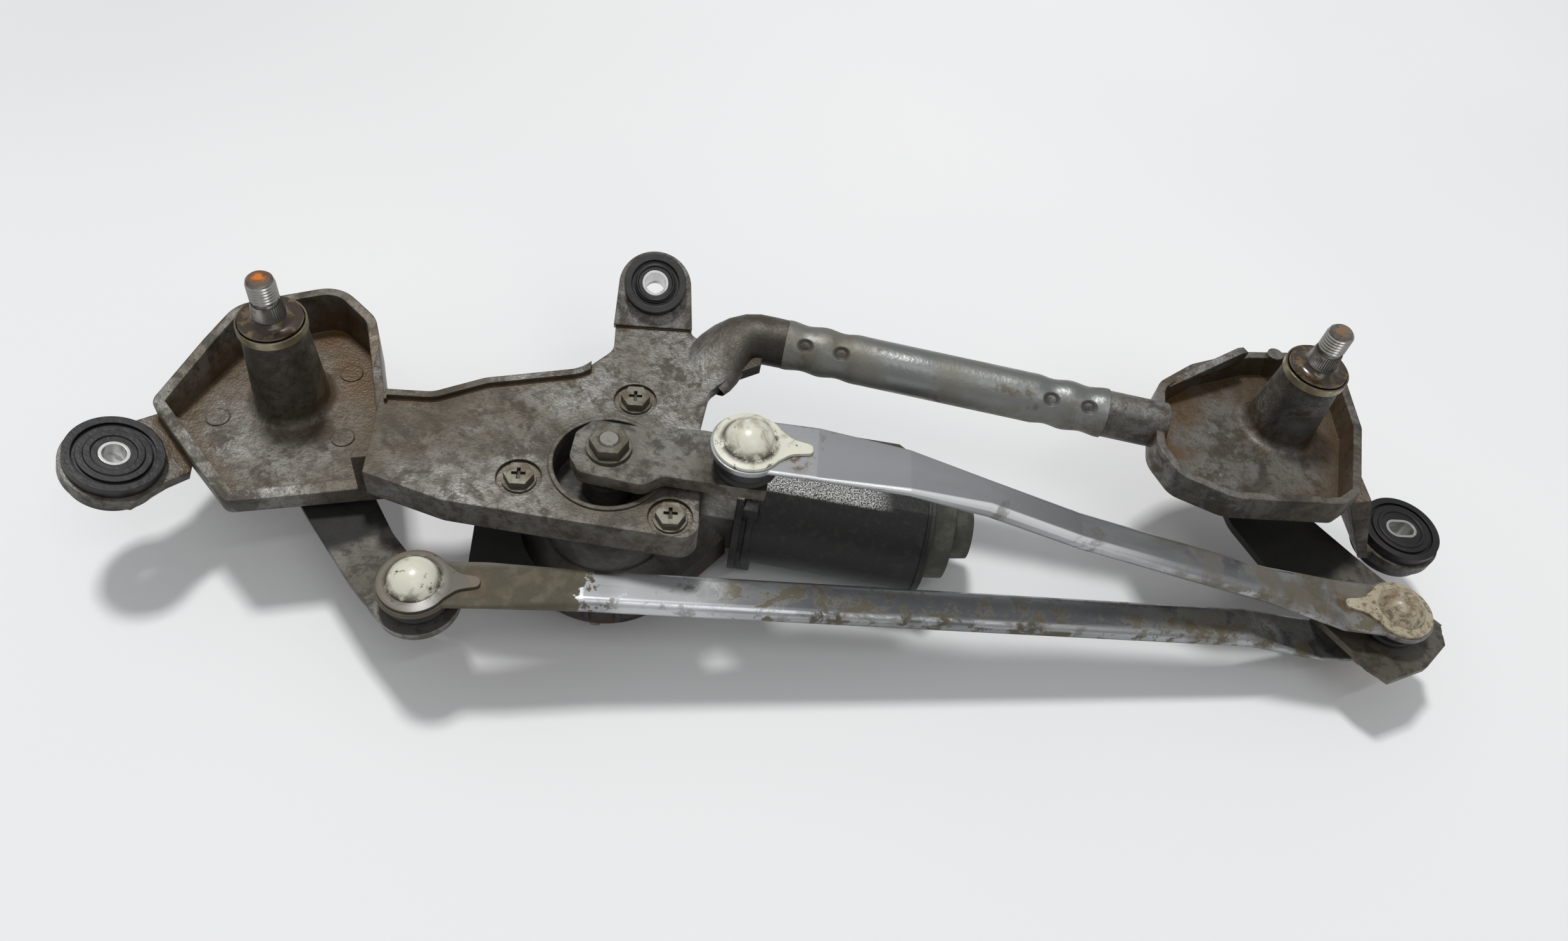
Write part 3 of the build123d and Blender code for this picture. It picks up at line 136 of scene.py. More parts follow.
class Wire:
    """An output socket; sums on it add Math nodes."""

    def __init__(self, finish, socket):
        self.finish = finish
        self.socket = socket

    def _math(self, operation, first, second):
        return self.finish.node("ShaderNodeMath", {"operation": operation}, {0: first, 1: second})

    def __add__(self, other):
        return self._math("ADD", self, other)

    def __radd__(self, other):
        return self._math("ADD", other, self)

    def __sub__(self, other):
        return self._math("SUBTRACT", self, other)

    def __rsub__(self, other):
        return self._math("SUBTRACT", other, self)

    def __mul__(self, other):
        return self._math("MULTIPLY", self, other)

    def __rmul__(self, other):
        return self._math("MULTIPLY", other, self)


class Finish:
    """A procedural material. Masks are Wires between 0 and 1, lengths and places are in millimetres."""

    def __init__(self, name, colour, roughness=0.5, metallic=0.0):
        self.material = bpy.data.materials.new(name)
        self.material.use_nodes = True
        self.tree = self.material.node_tree
        self.shader = self.tree.nodes["Principled BSDF"]
        self.place = self.node("ShaderNodeTexCoord", {}, {}, "Object")
        self.colour = colour
        self.roughness = roughness
        self.metallic = metallic
        self.height = None

    def node(self, kind, settings, sockets, output=0):
        """Adds a shader node, whose sockets take values or Wires, and gives one of its outputs."""
        made = self.tree.nodes.new(kind)
        for key, value in settings.items():
            setattr(made, key, value)
        for key, value in sockets.items():
            socket = made.inputs[key]
            if isinstance(value, Wire):
                self.tree.links.new(value.socket, socket)
            else:
                socket.default_value = value
        return Wire(self, made.outputs[output])

    def fade(self, value, low, high):
        """0 below low, 1 above high, smooth between; low may be above high."""
        return self.node("ShaderNodeMapRange", {"interpolation_type": "SMOOTHSTEP"},
                         {"Value": value, "From Min": low, "From Max": high})

    def stretched(self, scale):
        return self.node("ShaderNodeMapping", {}, {"Vector": self.place, "Scale": scale})

    def clouds(self, scale, low, high, detail=4.0, rough=0.6, where=None, warp=0.0):
        """Noise with this many waves to a metre, 0 below low and 1 above high."""
        noise = self.node("ShaderNodeTexNoise", {},
                          {"Vector": where or self.place, "Scale": scale, "Detail": detail,
                           "Roughness": rough, "Distortion": warp})
        return self.fade(noise, low, high)

    def corners(self, reach, low=0.85, high=0.35):
        """1 in the inner corners of the piece, where grease and dust stay."""
        open_sky = self.node("ShaderNodeAmbientOcclusion", {"only_local": True, "samples": 8},
                             {"Distance": reach * MM}, "AO")
        return self.fade(open_sky, low, high)

    def axis(self, name):
        """The place along an axis, in metres."""
        return self.node("ShaderNodeSeparateXYZ", {}, {0: self.place}, name)

    def ramp(self, name, start, end):
        """0 before the start on an axis and 1 past the end; the start may be above the end."""
        return self.fade(self.axis(name), start * MM, end * MM)

    def facing(self, name, low, high):
        """1 on faces that look along an axis."""
        normal = self.node("ShaderNodeTexCoord", {}, {}, "Normal")
        return self.fade(self.node("ShaderNodeSeparateXYZ", {}, {0: normal}, name), low, high)

    def painted_top_shade(self):
        """1 on faces that look up, which get painted shade."""
        return self.facing("Z", 0.35, 0.85)

    def deepen(self, mask, share):
        """Darkens the colour to this share where the mask is 1."""
        self.colour = self.node("ShaderNodeMix", {"data_type": "RGBA", "blend_type": "MULTIPLY"},
                                {0: mask, 6: self.colour, 7: (share, share, share, 1.0)}, 2)

    def round_spot(self, centre, near, far):
        """1 within the near distance of a point, 0 past the far one."""
        away = self.node("ShaderNodeVectorMath", {"operation": "DISTANCE"},
                         {0: self.place, 1: Vector(centre) * MM}, "Value")
        return self.fade(away, far * MM, near * MM)

    def ring_spot(self, centre, radius, width):
        """1 on an upright ring round a point, 0 a width away from it."""
        flat = self.node("ShaderNodeMapping", {},
                         {"Vector": self.place, "Location": level(-centre, 0) * MM, "Scale": (1, 1, 0)})
        away = self.node("ShaderNodeVectorMath", {"operation": "LENGTH"}, {0: flat}, "Value")
        inside = self.fade(away, (radius - width) * MM, radius * MM)
        return inside * self.fade(away, (radius + width) * MM, radius * MM)

    def cover(self, mask, colour, strength=1.0, roughness=None, metallic=None):
        """Lays a colour over what is there, where the mask is 1."""
        share = mask * strength
        self.colour = self.node("ShaderNodeMix", {"data_type": "RGBA"},
                                {0: share, 6: self.colour, 7: colour}, 2)
        for name, value in (("roughness", roughness), ("metallic", metallic)):
            if value is not None:
                below = getattr(self, name)
                setattr(self, name, share * value + (1 - share) * below)

    def emboss(self, height):
        """Adds a height to the surface."""
        self.height = height if self.height is None else self.height + height

    def done(self, bump=1.0, coat=0.0, edge=0.0):
        """The finished material. Edge is the radius to which sharp edges look rounded."""
        sockets = self.shader.inputs
        rounded = None
        if edge:
            rounded = self.node("ShaderNodeBevel", {"samples": 4}, {"Radius": edge * MM})
            self.tree.links.new(rounded.socket, sockets["Normal"])
        for name, value in (("Base Color", self.colour), ("Roughness", self.roughness),
                            ("Metallic", self.metallic)):
            if isinstance(value, Wire):
                self.tree.links.new(value.socket, sockets[name])
            else:
                sockets[name].default_value = value
        if self.height is not None:
            normal = self.node("ShaderNodeBump", {},
                               {"Strength": bump, "Distance": MM, "Height": self.height})
            if rounded is not None:
                self.tree.links.new(rounded.socket, normal.socket.node.inputs["Normal"])
            self.tree.links.new(normal.socket, sockets["Normal"])
        if coat:
            sockets["Coat Weight"].default_value = coat
            sockets["Coat Roughness"].default_value = 0.2
        return self.material


def cast_aluminium():
    made = Finish("cast_aluminium", srgb(162, 161, 157), 0.44, 0.6)
    made.cover(made.clouds(26, 0.36, 0.66), srgb(124, 119, 107), 0.75, 0.55, 0.45)
    made.cover(made.clouds(11, 0.45, 0.65, warp=0.6), srgb(112, 98, 76), 0.6, 0.62, 0.3)
    # Fine specks of dirt in the skin of the casting.
    made.cover(made.clouds(190, 0.44, 0.6, detail=9, rough=0.75), srgb(78, 69, 52), 0.62, 0.62, 0.25)
    dark = made.clouds(64, 0.51, 0.59, detail=10, rough=0.75, warp=0.4)
    made.cover(dark, srgb(66, 55, 35), 0.75, 0.6, 0.2)
    made.cover(made.clouds(420, 0.56, 0.66, detail=8, rough=0.7), srgb(52, 43, 28), 0.6, 0.6, 0.2)
    # Painted shade on the faces that look up.
    made.deepen(made.painted_top_shade(), 0.68)
    made.cover(made.clouds(30, 0.57, 0.66, detail=9, warp=0.8), srgb(47, 43, 35), 0.75, 0.55, 0.2)
    made.cover(made.corners(20, 0.92, 0.56), srgb(84, 62, 32), 0.78, 0.36, 0.1)
    # Old grease that gathered along the walls of the trays.
    grease = made.clouds(90, 0.3, 0.6, detail=7)
    for centre, reach in (((-100, 66, -24), 28), ((-118, 78, -20), 20),
                          ((242, 52, -4), 20), ((234, 28, -4), 18)):
        made.cover(made.round_spot(centre, 0.2 * reach, reach) * grease, srgb(92, 62, 20), 0.85, 0.3, 0.0)
    # Dirt round the motor hole, on the left end, on the neck and on the two towers.
    made.cover(made.round_spot((0, 0, 0), 24, 34), srgb(66, 58, 44), 0.5, 0.55)
    left_end = made.round_spot((-80, 15, 0), 20, 50) * made.clouds(50, 0.35, 0.6, detail=7)
    made.cover(left_end, srgb(66, 56, 38), 0.6, 0.6, 0.2)
    made.cover(made.round_spot((58, 64, 0), 12, 30), srgb(54, 46, 32), 0.75, 0.5)
    for tower in (level(left_shaft, 10), level(right_shaft, 22)):
        dirt = made.round_spot(tower, 16, 32) * made.clouds(60, 0.3, 0.6)
        made.cover(dirt, srgb(50, 47, 42), 0.5, 0.5)
    # Darker towards the right end, and painted shade on the faces that look to the front.
    made.deepen(made.ramp("X", 200, 230), 0.85)
    made.deepen(made.facing("Y", -0.3, -0.7), 0.5)
    made.emboss(0.12 * made.clouds(900, 0.3, 0.7, detail=2))
    return made.done(0.6, edge=0.9)


def housing_aluminium():
    made = Finish("housing_aluminium", srgb(92, 89, 84), 0.5, 0.5)
    made.cover(made.clouds(60, 0.35, 0.65, detail=8), srgb(40, 36, 29), 0.8, 0.7, 0.2)
    made.cover(made.ramp("Z", -36, -46), srgb(44, 39, 31), 0.75, 0.7, 0.15)
    made.emboss(0.3 * made.clouds(300, 0.3, 0.7, detail=2))
    return made.done(0.6, edge=1.2)


def tube_steel():
    made = Finish("tube_steel", srgb(140, 142, 140), 0.36, 0.75)
    made.cover(made.clouds(24, 0.42, 0.62, detail=6, warp=0.5), srgb(120, 116, 103), 0.75, 0.6, 0.4)
    made.cover(made.clouds(85, 0.56, 0.68, detail=6), srgb(92, 80, 54), 0.7, 0.7, 0.2)
    # Painted shade on the faces that look up.
    made.deepen(made.painted_top_shade(), 0.85)
    made.cover(made.corners(4), srgb(52, 42, 27), 0.85, 0.6, 0.1)
    # Brown dirt over the rolled ends; the dimples are darker in their middles.
    ends = made.ramp("X", 108, 88) + made.ramp("X", 176, 196)
    made.cover(ends * made.clouds(60, 0.4, 0.6, detail=8, rough=0.7), srgb(88, 80, 60), 0.75, 0.62, 0.25)
    for middle in dimples:
        pit = made.round_spot(middle + facing_out * (WAIST_R - DIMPLE_DEPTH / 2), 2.2, 3.6)
        made.cover(pit, srgb(48, 41, 29), 0.75, 0.55, 0.2)
    made.emboss(0.9 * made.clouds(32, 0.3, 0.7, detail=1) + 0.08 * made.clouds(500, 0.3, 0.7))
    return made.done(0.6, edge=0.6)


def lever_steel():
    made = Finish("lever_steel", srgb(122, 120, 113), 0.5, 0.6)
    made.cover(made.clouds(22, 0.38, 0.62, warp=0.4), srgb(84, 77, 62), 0.8, 0.62, 0.35)
    made.cover(made.clouds(120, 0.46, 0.6, detail=9, rough=0.72), srgb(50, 43, 31), 0.75, 0.6, 0.2)
    # Painted shade on the faces that look up.
    made.deepen(made.painted_top_shade(), 0.74)
    # The ends under the trays are painted near black: painted shadow of the trays.
    left_tray_shadow = made.round_spot(level(left_shaft, -30), 72, 77)
    right_tray_shadow = made.round_spot(level(right_shaft, -30), 58, 62)
    made.cover(left_tray_shadow + right_tray_shadow, srgb(12, 11, 9), 0.93, 0.7, 0.05)
    made.emboss(0.1 * made.clouds(600, 0.3, 0.7))
    return made.done(0.5, edge=0.5)


def rod_zinc():
    made = Finish("rod_zinc", srgb(172, 174, 176), 0.24, 0.95)
    grain = made.clouds(60, 0.35, 0.65, where=made.stretched((0.12, 1.0, 1.0)))
    made.cover(grain, srgb(126, 127, 128), 0.6, 0.36)
    # The lower rod lies in front of this line and is the dirtier one, most of all at its left end.
    front = made.ramp("Y", -26, -36)
    ragged = made.axis("X") + 30 * MM * made.clouds(60, 0.3, 0.7, detail=9, rough=0.7)
    left = made.fade(ragged, 17 * MM, 13 * MM)
    flakes = made.clouds(95, 0.51, 0.55, detail=10, rough=0.76, warp=0.3)
    made.cover(flakes * front * made.ramp("X", 30, 50), srgb(84, 75, 48), 0.88, 0.66, 0.1)
    made.cover(left * front, srgb(74, 66, 47), 0.94, 0.8, 0.05)
    pale = made.clouds(110, 0.45, 0.6, detail=9, rough=0.7)
    made.cover(left * front * pale, srgb(104, 97, 80), 0.6, 0.7, 0.2)
    # The lower rod is darker in its middle.
    made.deepen(front * made.ramp("X", 55, 85) * made.ramp("X", 230, 180), 0.7)
    # Painted highlight along the shoulder of both rods that faces the front, and a painted sheen on the upper
    # rod's top.
    front_shoulder_highlight = made.facing("Y", -0.12, -0.35) * made.facing("Z", 0.2, 0.5) * made.ramp("X", 250, 170)
    upper_top_sheen = (1 - front) * made.ramp("X", 210, 120) * made.facing("Z", 0.3, 0.8)
    made.cover(upper_top_sheen, srgb(176, 178, 180), 0.6, 0.3, 0.6)
    made.cover(front_shoulder_highlight * (1 - front), srgb(240, 241, 242), 0.85, 0.24, 0.35)
    # Painted highlight, in patches, on the lower rod's front shoulder.
    lower_shoulder_highlight = front_shoulder_highlight * front * (1 - left) * made.clouds(70, 0.42, 0.5, detail=9)
    made.cover(lower_shoulder_highlight, srgb(190, 192, 194), 0.6, 0.3, 0.8)
    bare = front * made.ramp("X", 0, 10) * made.ramp("X", 55, 35)
    made.cover(bare * made.clouds(80, 0.34, 0.42, detail=8), srgb(206, 208, 210), 0.75, 0.24, 0.4)
    # Dirt at the right ends, in stains, and beside the ball joints.
    right_ends = made.ramp("X", 190, 260) * made.clouds(50, 0.4, 0.6, detail=8)
    made.cover(right_ends, srgb(96, 88, 70), 0.8, 0.6, 0.3)
    stains = made.clouds(45, 0.55, 0.62, detail=9, rough=0.7, warp=0.5)
    made.cover(stains, srgb(92, 86, 72), 0.55, 0.5, 0.5)
    for place in ((70.5, -11.8, 22.6), (-47.0, -43.5, -24.0), (308.0, -29.5, -34.0)):
        dirt = made.round_spot(place, 3, 8) * made.clouds(200, 0.35, 0.55)
        made.cover(dirt, srgb(80, 62, 34), 0.9, 0.5, 0.1)
    made.emboss(0.04 * grain)
    return made.done(0.5, edge=0.8)


def shaft_steel():
    made = Finish("shaft_steel", srgb(158, 155, 149), 0.34, 0.9)
    made.cover(made.clouds(120, 0.45, 0.62, detail=5), srgb(84, 70, 50), 0.8, 0.6, 0.3)
    # Painted shade on the faces that look up.
    made.deepen(made.painted_top_shade(), 0.6)
    # Rust on the two tips.
    crust = made.clouds(420, 0.35, 0.55, detail=5)
    left_end = level(left_shaft, left_tip + 0.2)
    right_end = level(right_shaft, right_tip + 0.2)
    made.cover(made.round_spot(left_end, 3, 5.6), srgb(92, 66, 42), 0.9, 0.8, 0.0)
    made.cover(made.round_spot(left_end, 1.2, 3.6) * crust, srgb(205, 112, 24), 0.95, 0.8, 0.0)
    made.cover(made.round_spot(right_end, 2, 4.5) * crust, srgb(126, 90, 54), 0.8, 0.8, 0.0)
    return made.done()


def cap_plate():
    made = Finish("cap_plate", srgb(176, 168, 142), 0.32, 0.9)
    made.cover(made.clouds(90, 0.42, 0.62, detail=6), srgb(94, 78, 48), 0.8, 0.5, 0.3)
    # Painted shade on the faces that look up.
    made.deepen(made.painted_top_shade(), 0.5)
    made.cover(made.corners(7, 0.97, 0.7), srgb(40, 28, 15), 0.97, 0.22, 0.0)
    return made.done(edge=0.3)


def black_rubber():
    made = Finish("black_rubber", srgb(14, 13, 14), 0.4)
    made.cover(made.clouds(50, 0.45, 0.7, detail=5), srgb(44, 39, 37), 0.5, 0.7)
    made.emboss(0.12 * made.clouds(260, 0.3, 0.7))
    return made.done(0.5, edge=0.7)


def sleeve_steel():
    made = Finish("sleeve_steel", srgb(206, 206, 204), 0.3, 0.95)
    made.cover(made.clouds(150, 0.5, 0.65), srgb(120, 116, 106), 0.6, 0.5)
    return made.done(edge=0.3)


def fastener_steel():
    made = Finish("fastener_steel", srgb(132, 129, 118), 0.42, 0.8)
    made.cover(made.clouds(160, 0.4, 0.62, detail=5), srgb(96, 84, 60), 0.8, 0.62, 0.35)
    # Painted shade on the faces that look up.
    made.deepen(made.painted_top_shade(), 0.75)
    # The crank nut, in the middle of the crank, is darker.
    made.deepen(made.round_spot((0, 0, 12), 16, 24), 0.7)
    made.cover(made.corners(4), srgb(34, 27, 17), 0.85, 0.6, 0.1)
    return made.done(edge=0.4)


def cream_plastic():
    made = Finish("cream_plastic", srgb(214, 213, 196), 0.3)
    # The right sockets are browned all over, and the left one low down.
    brown = made.ramp("X", 290, 320)
    made.cover(brown, srgb(158, 147, 122), 0.92, 0.5)
    made.cover(brown * made.clouds(330, 0.46, 0.6, detail=8, rough=0.75), srgb(84, 68, 46), 0.8, 0.6)
    low = made.ramp("Z", -19.6, -21.2) * made.ramp("X", -30, -34)
    made.cover(low, srgb(58, 49, 34), 0.95, 0.6)
    made.cover(made.clouds(120, 0.5, 0.66, detail=6, warp=0.6), srgb(112, 88, 56), 0.5, 0.5)
    made.cover(made.clouds(210, 0.6, 0.64, detail=9, rough=0.75), srgb(44, 33, 22), 0.9, 0.5)
    for ball in (crank_ball, LEFT_BALL):
        ring = made.ring_spot(ball, 10.1, 2.2) * made.clouds(150, 0.4, 0.5, detail=8, rough=0.7)
        made.cover(ring, srgb(56, 40, 22), 0.92, 0.5)
    return made.done(coat=0.2, edge=0.4)


def motor_steel():
    made = Finish("motor_steel", srgb(22, 21, 20), 0.5, 0.2)
    made.cover(made.ramp("Z", -48, -64), srgb(108, 109, 110), 0.75, 0.45, 0.5)
    made.cover(made.clouds(30, 0.4, 0.7, detail=7), srgb(18, 17, 16), 0.6, 0.55)
    made.cover(made.clouds(300, 0.5, 0.7, detail=8), srgb(60, 58, 53), 0.3, 0.6)
    # The flat on top is rubbed down to bare zinc in fine crystals.
    crystals = made.clouds(1500, 0.36, 0.6, detail=2) * made.ramp("X", 118, 106)
    flat_top = made.ramp("Z", -24.0, -23.2)
    made.cover(flat_top * crystals, srgb(214, 214, 212), 0.95, 0.3, 0.4)
    # The end away from the gear is a dull grey.
    grey = made.ramp("X", 131, 137)
    made.cover(grey, srgb(88, 88, 77), 0.85, 0.55, 0.3)
    made.cover(grey * made.clouds(40, 0.42, 0.55, detail=6), srgb(44, 43, 38), 0.7, 0.6, 0.2)
    made.emboss(0.12 * made.clouds(500, 0.3, 0.7) + 0.4 * flat_top * crystals)
    return made.done(0.6, edge=0.8)


def cover_steel():
    made = Finish("cover_steel", srgb(38, 32, 26), 0.6, 0.3)
    made.cover(made.clouds(60, 0.45, 0.6, detail=6), srgb(84, 52, 30), 0.7, 0.75, 0.0)
    return made.done()


def dark_grease():
    made = Finish("dark_grease", srgb(50, 36, 19), 0.22)
    made.cover(made.clouds(240, 0.5, 0.62, detail=6), srgb(104, 84, 48), 0.75, 0.35)
    return made.done(coat=0.6)


def plain(name, colour, roughness, metallic):
    """An even finish with faint clouds."""
    made = Finish(name, colour, roughness, metallic)
    made.cover(made.clouds(90, 0.4, 0.65), tuple(0.6 * v for v in colour[:3]) + (1.0,), 0.5)
    return made.done()


finishes = {make.__name__: make() for make in (
    cast_aluminium, tube_steel, lever_steel, rod_zinc, shaft_steel, cap_plate, black_rubber, sleeve_steel,
    fastener_steel, cream_plastic, motor_steel, cover_steel)}
for name, colour, roughness, metallic in (
        ("bearing_bronze", srgb(170, 130, 80), 0.5, 0.9),
        ("dark_plastic", srgb(34, 33, 32), 0.55, 0.0),
        ("wheel_nylon", srgb(214, 208, 190), 0.5, 0.0),
        ("magnet_ferrite", srgb(52, 52, 54), 0.7, 0.0),
        ("armature_iron", srgb(110, 104, 98), 0.5, 0.8),
        ("commutator_copper", srgb(190, 120, 80), 0.35, 0.95)):
    finishes[name] = plain(name, colour, roughness, metallic)
housing_finish = housing_aluminium()
thread_finish = plain("thread_steel", srgb(196, 194, 188), 0.26, 0.95)
grease_finish = dark_grease()

for entry in frame["record"]["subparts"]:
    if entry["node"] in nodes:
        mesh = nodes[entry["node"]].data
        mesh.materials.clear()
        mesh.materials.append(finishes[entry["material_slot"]])
nodes["gear_housing"].data.materials[0] = housing_finish


# Small pieces, shaped in place and carried by the bodies. Their sizes and places are in millimetres.
def shift(x, y, z):
    return Matrix.Translation(Vector((x, y, z)) * MM)


def turn(degrees, axis):
    return Matrix.Rotation(math.radians(degrees), 4, axis)


def place_at(point, axis=Z_AXIS):
    """The frame at a point whose Z axis is the given one."""
    return shift(*point) @ Z_AXIS.rotation_difference(axis).to_matrix().to_4x4()


def new(primitive, **settings):
    bpy.ops.object.select_all(action="DESELECT")
    primitive(**settings)
    return bpy.context.object


def edit():
    bpy.ops.object.mode_set(mode="EDIT")
    bpy.ops.mesh.select_all(action="SELECT")


def leave_edit():
    if bpy.context.mode != "OBJECT":
        bpy.ops.object.mode_set(mode="OBJECT")


def apply_place():
    bpy.ops.object.transform_apply(location=True, rotation=True, scale=True)


def modify(piece, kind, **settings):
    """Adds a modifier with these settings to a piece and applies it."""
    leave_edit()
    bpy.context.view_layer.objects.active = piece
    modifier = piece.modifiers.new(kind, kind)
    for key, value in settings.items():
        setattr(modifier, key, value)
    bpy.ops.object.modifier_apply(modifier=kind)


def settle(piece, name, spot, body, slot, finish=None, smooth=40):
    """Gives a shaped piece its name, place, body and finish."""
    leave_edit()
    apply_place()
    piece.matrix_world = spot
    apply_place()
    edit()
    bpy.ops.mesh.normals_make_consistent(inside=False)
    leave_edit()
    bpy.ops.object.shade_smooth_by_angle(angle=math.radians(smooth))
    piece.name = piece.data.name = name
    piece.data.materials.clear()
    piece.data.materials.append(finish or finishes[slot])
    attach(piece, body)


def drawn(points):
    """A closed wire drawn point by point: a plane merged to one point and extruded on."""
    piece = new(bpy.ops.mesh.primitive_plane_add, size=MM)
    edit()
    bpy.ops.mesh.merge(type="CENTER")
    bpy.ops.transform.translate(value=Vector(points[0]) * MM)
    for before, after in zip(points, points[1:] + points[:1]):
        step = (Vector(after) - Vector(before)) * MM
        bpy.ops.mesh.extrude_region_move(TRANSFORM_OT_translate={"value": step})
    bpy.ops.mesh.select_all(action="SELECT")
    bpy.ops.mesh.remove_doubles(threshold=0.02 * MM)
    bpy.ops.mesh.select_all(action="SELECT")
    return piece


def spun(name, spot, outline, body, slot, finish=None):
    """A turned piece: an outline of (radius, height), spun about the spot's Z axis."""
    piece = drawn([(radius, 0.0, height) for radius, height in outline])
    bpy.ops.mesh.spin(steps=56, angle=2 * math.pi, center=(0, 0, 0), axis=(0, 0, 1))
    bpy.ops.mesh.select_all(action="SELECT")
    bpy.ops.mesh.remove_doubles(threshold=0.01 * MM)
    settle(piece, name, spot, body, slot, finish)


def plate(name, spot, outline, thickness, body, slot, finish=None, bevel=0.25):
    """A flat piece: an outline of (x, y), extruded along the spot's Z axis, with bevelled edges."""
    piece = drawn([(x, y, 0.0) for x, y in outline])
    bpy.ops.mesh.edge_face_add()
    bpy.ops.mesh.extrude_region_move(TRANSFORM_OT_translate={"value": (0, 0, thickness * MM)})
    modify(piece, "BEVEL", width=bevel * MM, segments=2)
    settle(piece, name, spot, body, slot, finish)


def band(name, spot, radius, flat, length):
    """A band round the yoke: a drum cut flat on two sides, with bevelled rims."""
    piece = new(bpy.ops.mesh.primitive_cylinder_add, vertices=96, radius=radius * MM, depth=length * MM)
    for side in (1, -1):
        edit()
        bpy.ops.mesh.bisect(plane_co=(side * flat * MM, 0, 0), plane_no=(side, 0, 0), use_fill=True,
                            clear_outer=True)
        leave_edit()
    modify(piece, "BEVEL", width=0.5 * MM, segments=2, angle_limit=math.radians(40))
    settle(piece, name, spot, "frame", "motor_steel")


# Threads and knurls of the two wiper shafts.
THREAD_R = 4.9
THREAD_SIDE = 0.85
THREAD_PITCH = 1.4
THREAD_TURNS = 6
KNURL_FOOT_R = 6.0
KNURL_TOP_R = 5.2
KNURL_HEIGHT = 6.6
RIDGE_R = 0.55
RIDGES = 40


def thread(name, spot, body):
    """A screw thread: a diamond wound up along the shaft."""
    piece = new(bpy.ops.mesh.primitive_plane_add, size=THREAD_SIDE * MM, location=(THREAD_R * MM, 0, 0),
                rotation=(math.pi / 2, math.pi / 4, 0))
    apply_place()
    edit()
    bpy.ops.mesh.delete(type="ONLY_FACE")
    modify(piece, "SCREW", screw_offset=THREAD_PITCH * MM, iterations=THREAD_TURNS,
           steps=32, render_steps=32)
    edit()
    bpy.ops.mesh.fill_holes(sides=4)
    settle(piece, name, spot, body, "shaft_steel", thread_finish, 20)


def knurl(name, spot, body):
    """Fine ridges up a cone: one wedge, repeated round the shaft."""
    lean = math.atan2(KNURL_FOOT_R - KNURL_TOP_R, KNURL_HEIGHT)
    middle_r = (KNURL_FOOT_R + KNURL_TOP_R) / 2
    piece = new(bpy.ops.mesh.primitive_cylinder_add, vertices=3, radius=RIDGE_R * MM,
                depth=KNURL_HEIGHT * MM, location=(middle_r * MM, 0, 0), rotation=(0, -lean, 0))
    apply_place()
    edit()
    bpy.ops.mesh.spin(steps=RIDGES - 1, angle=2 * math.pi * (RIDGES - 1) / RIDGES, dupli=True,
                      center=(0, 0, 0), axis=(0, 0, 1))
    settle(piece, name, spot, body, "shaft_steel", smooth=10)


# Where they stand, with a ring of grease below. A drop is measured down from the shaft's tip.
THREAD_DROP = 10.2
KNURL_DROP = 14.8
GREASE_DROP = 21.2
GREASE = [(6.2, 0.0), (12.2, 0.0), (12.0, 0.7), (9.0, 0.5), (7.2, 1.4), (6.2, 2.6)]

for side, shaft, tip in (("left", left_shaft, left_tip), ("right", right_shaft, right_tip)):
    body = side + "_wiper"
    thread(side + "_thread", place_at(level(shaft, tip - THREAD_DROP)), body)
    knurl(side + "_knurl", place_at(level(shaft, tip - KNURL_DROP)), body)
    foot = place_at(level(shaft, tip - GREASE_DROP))
    spun(side + "_grease", foot, GREASE, body, "cap_plate", grease_finish)

# Steps moulded into the rubber grommets, on both faces. Foot and top are heights above the middle.
STEP_FOOT = 6.9
STEP_TOP = 7.7
STEP_SLOPE = 0.5

for name, mount, inner, outer in (("left", "left_bolt_sleeve", 7.6, 10.8),
                                  ("top", "top_bolt_sleeve", 6.8, 8.4),
                                  ("right", "right_bolt_slot", 8.8, 11.0)):
    step = [(inner, STEP_FOOT), (inner + STEP_SLOPE, STEP_TOP),
            (outer - STEP_SLOPE, STEP_TOP), (outer, STEP_FOOT)]
    above = place_at(places[mount], axes[mount])
    below = place_at(places[mount], -axes[mount])
    spun(name + "_grommet_step", above, step, "frame", "black_rubber")
    spun(name + "_grommet_step_below", below, step, "frame", "black_rubber")

# Folded edge behind the upper rod's flat end.
FOLD_Z = 19.6
FOLD_LEAN = 4.0
FOLD_THICKNESS = 1.8
FOLD = [(16.0, 9.0), (16.0, 13.2), (58.0, 14.0), (66.0, 8.4), (64.0, 7.0)]

rod_way = right_ball - crank_ball
rod_heading = math.degrees(math.atan2(rod_way.y, rod_way.x))
fold_spot = shift(crank_ball.x, crank_ball.y, FOLD_Z) @ turn(rod_heading, "Z") @ turn(FOLD_LEAN, "Y")
plate("upper_rod_fold", fold_spot, FOLD, FOLD_THICKNESS, "crank_rod", "rod_zinc",
      finishes["lever_steel"])


# Cross tube with its rolled ends and pressed dimples, and the smooth neck that leads to it.
def sleeve(rings):
    """A skin over upright rings, each with its centre, heading, half width and half height."""
    bpy.ops.object.select_all(action="DESELECT")
    piece = None
    for centre, heading, half_width, half_height in rings:
        middle = Vector(centre) * MM
        bpy.ops.mesh.primitive_circle_add(vertices=40, radius=half_width * MM, location=middle,
                                          rotation=(math.pi / 2, 0, math.radians(heading + 90)))
        if piece is None:
            piece = bpy.context.object
            edit()
        bpy.ops.transform.resize(value=(1, 1, half_height / half_width), center_override=middle)
    bpy.ops.mesh.select_all(action="SELECT")
    bpy.ops.mesh.bridge_edge_loops()
    leave_edit()
    return piece


def tube_radius(reach):
    """Rolled narrower in waves over each pair of dimples."""
    from_end = min(reach, tube_length - reach)
    share = max(0.0, min(1.0, (ROLLED_REACH - from_end) / ROLLED_FADE))
    wave = math.cos(2 * math.pi * (from_end - END_DIMPLE) / WAVE_PITCH)
    return TUBE_R - ROLLED_DEPTH * share - WAVE_DEPTH * share * wave


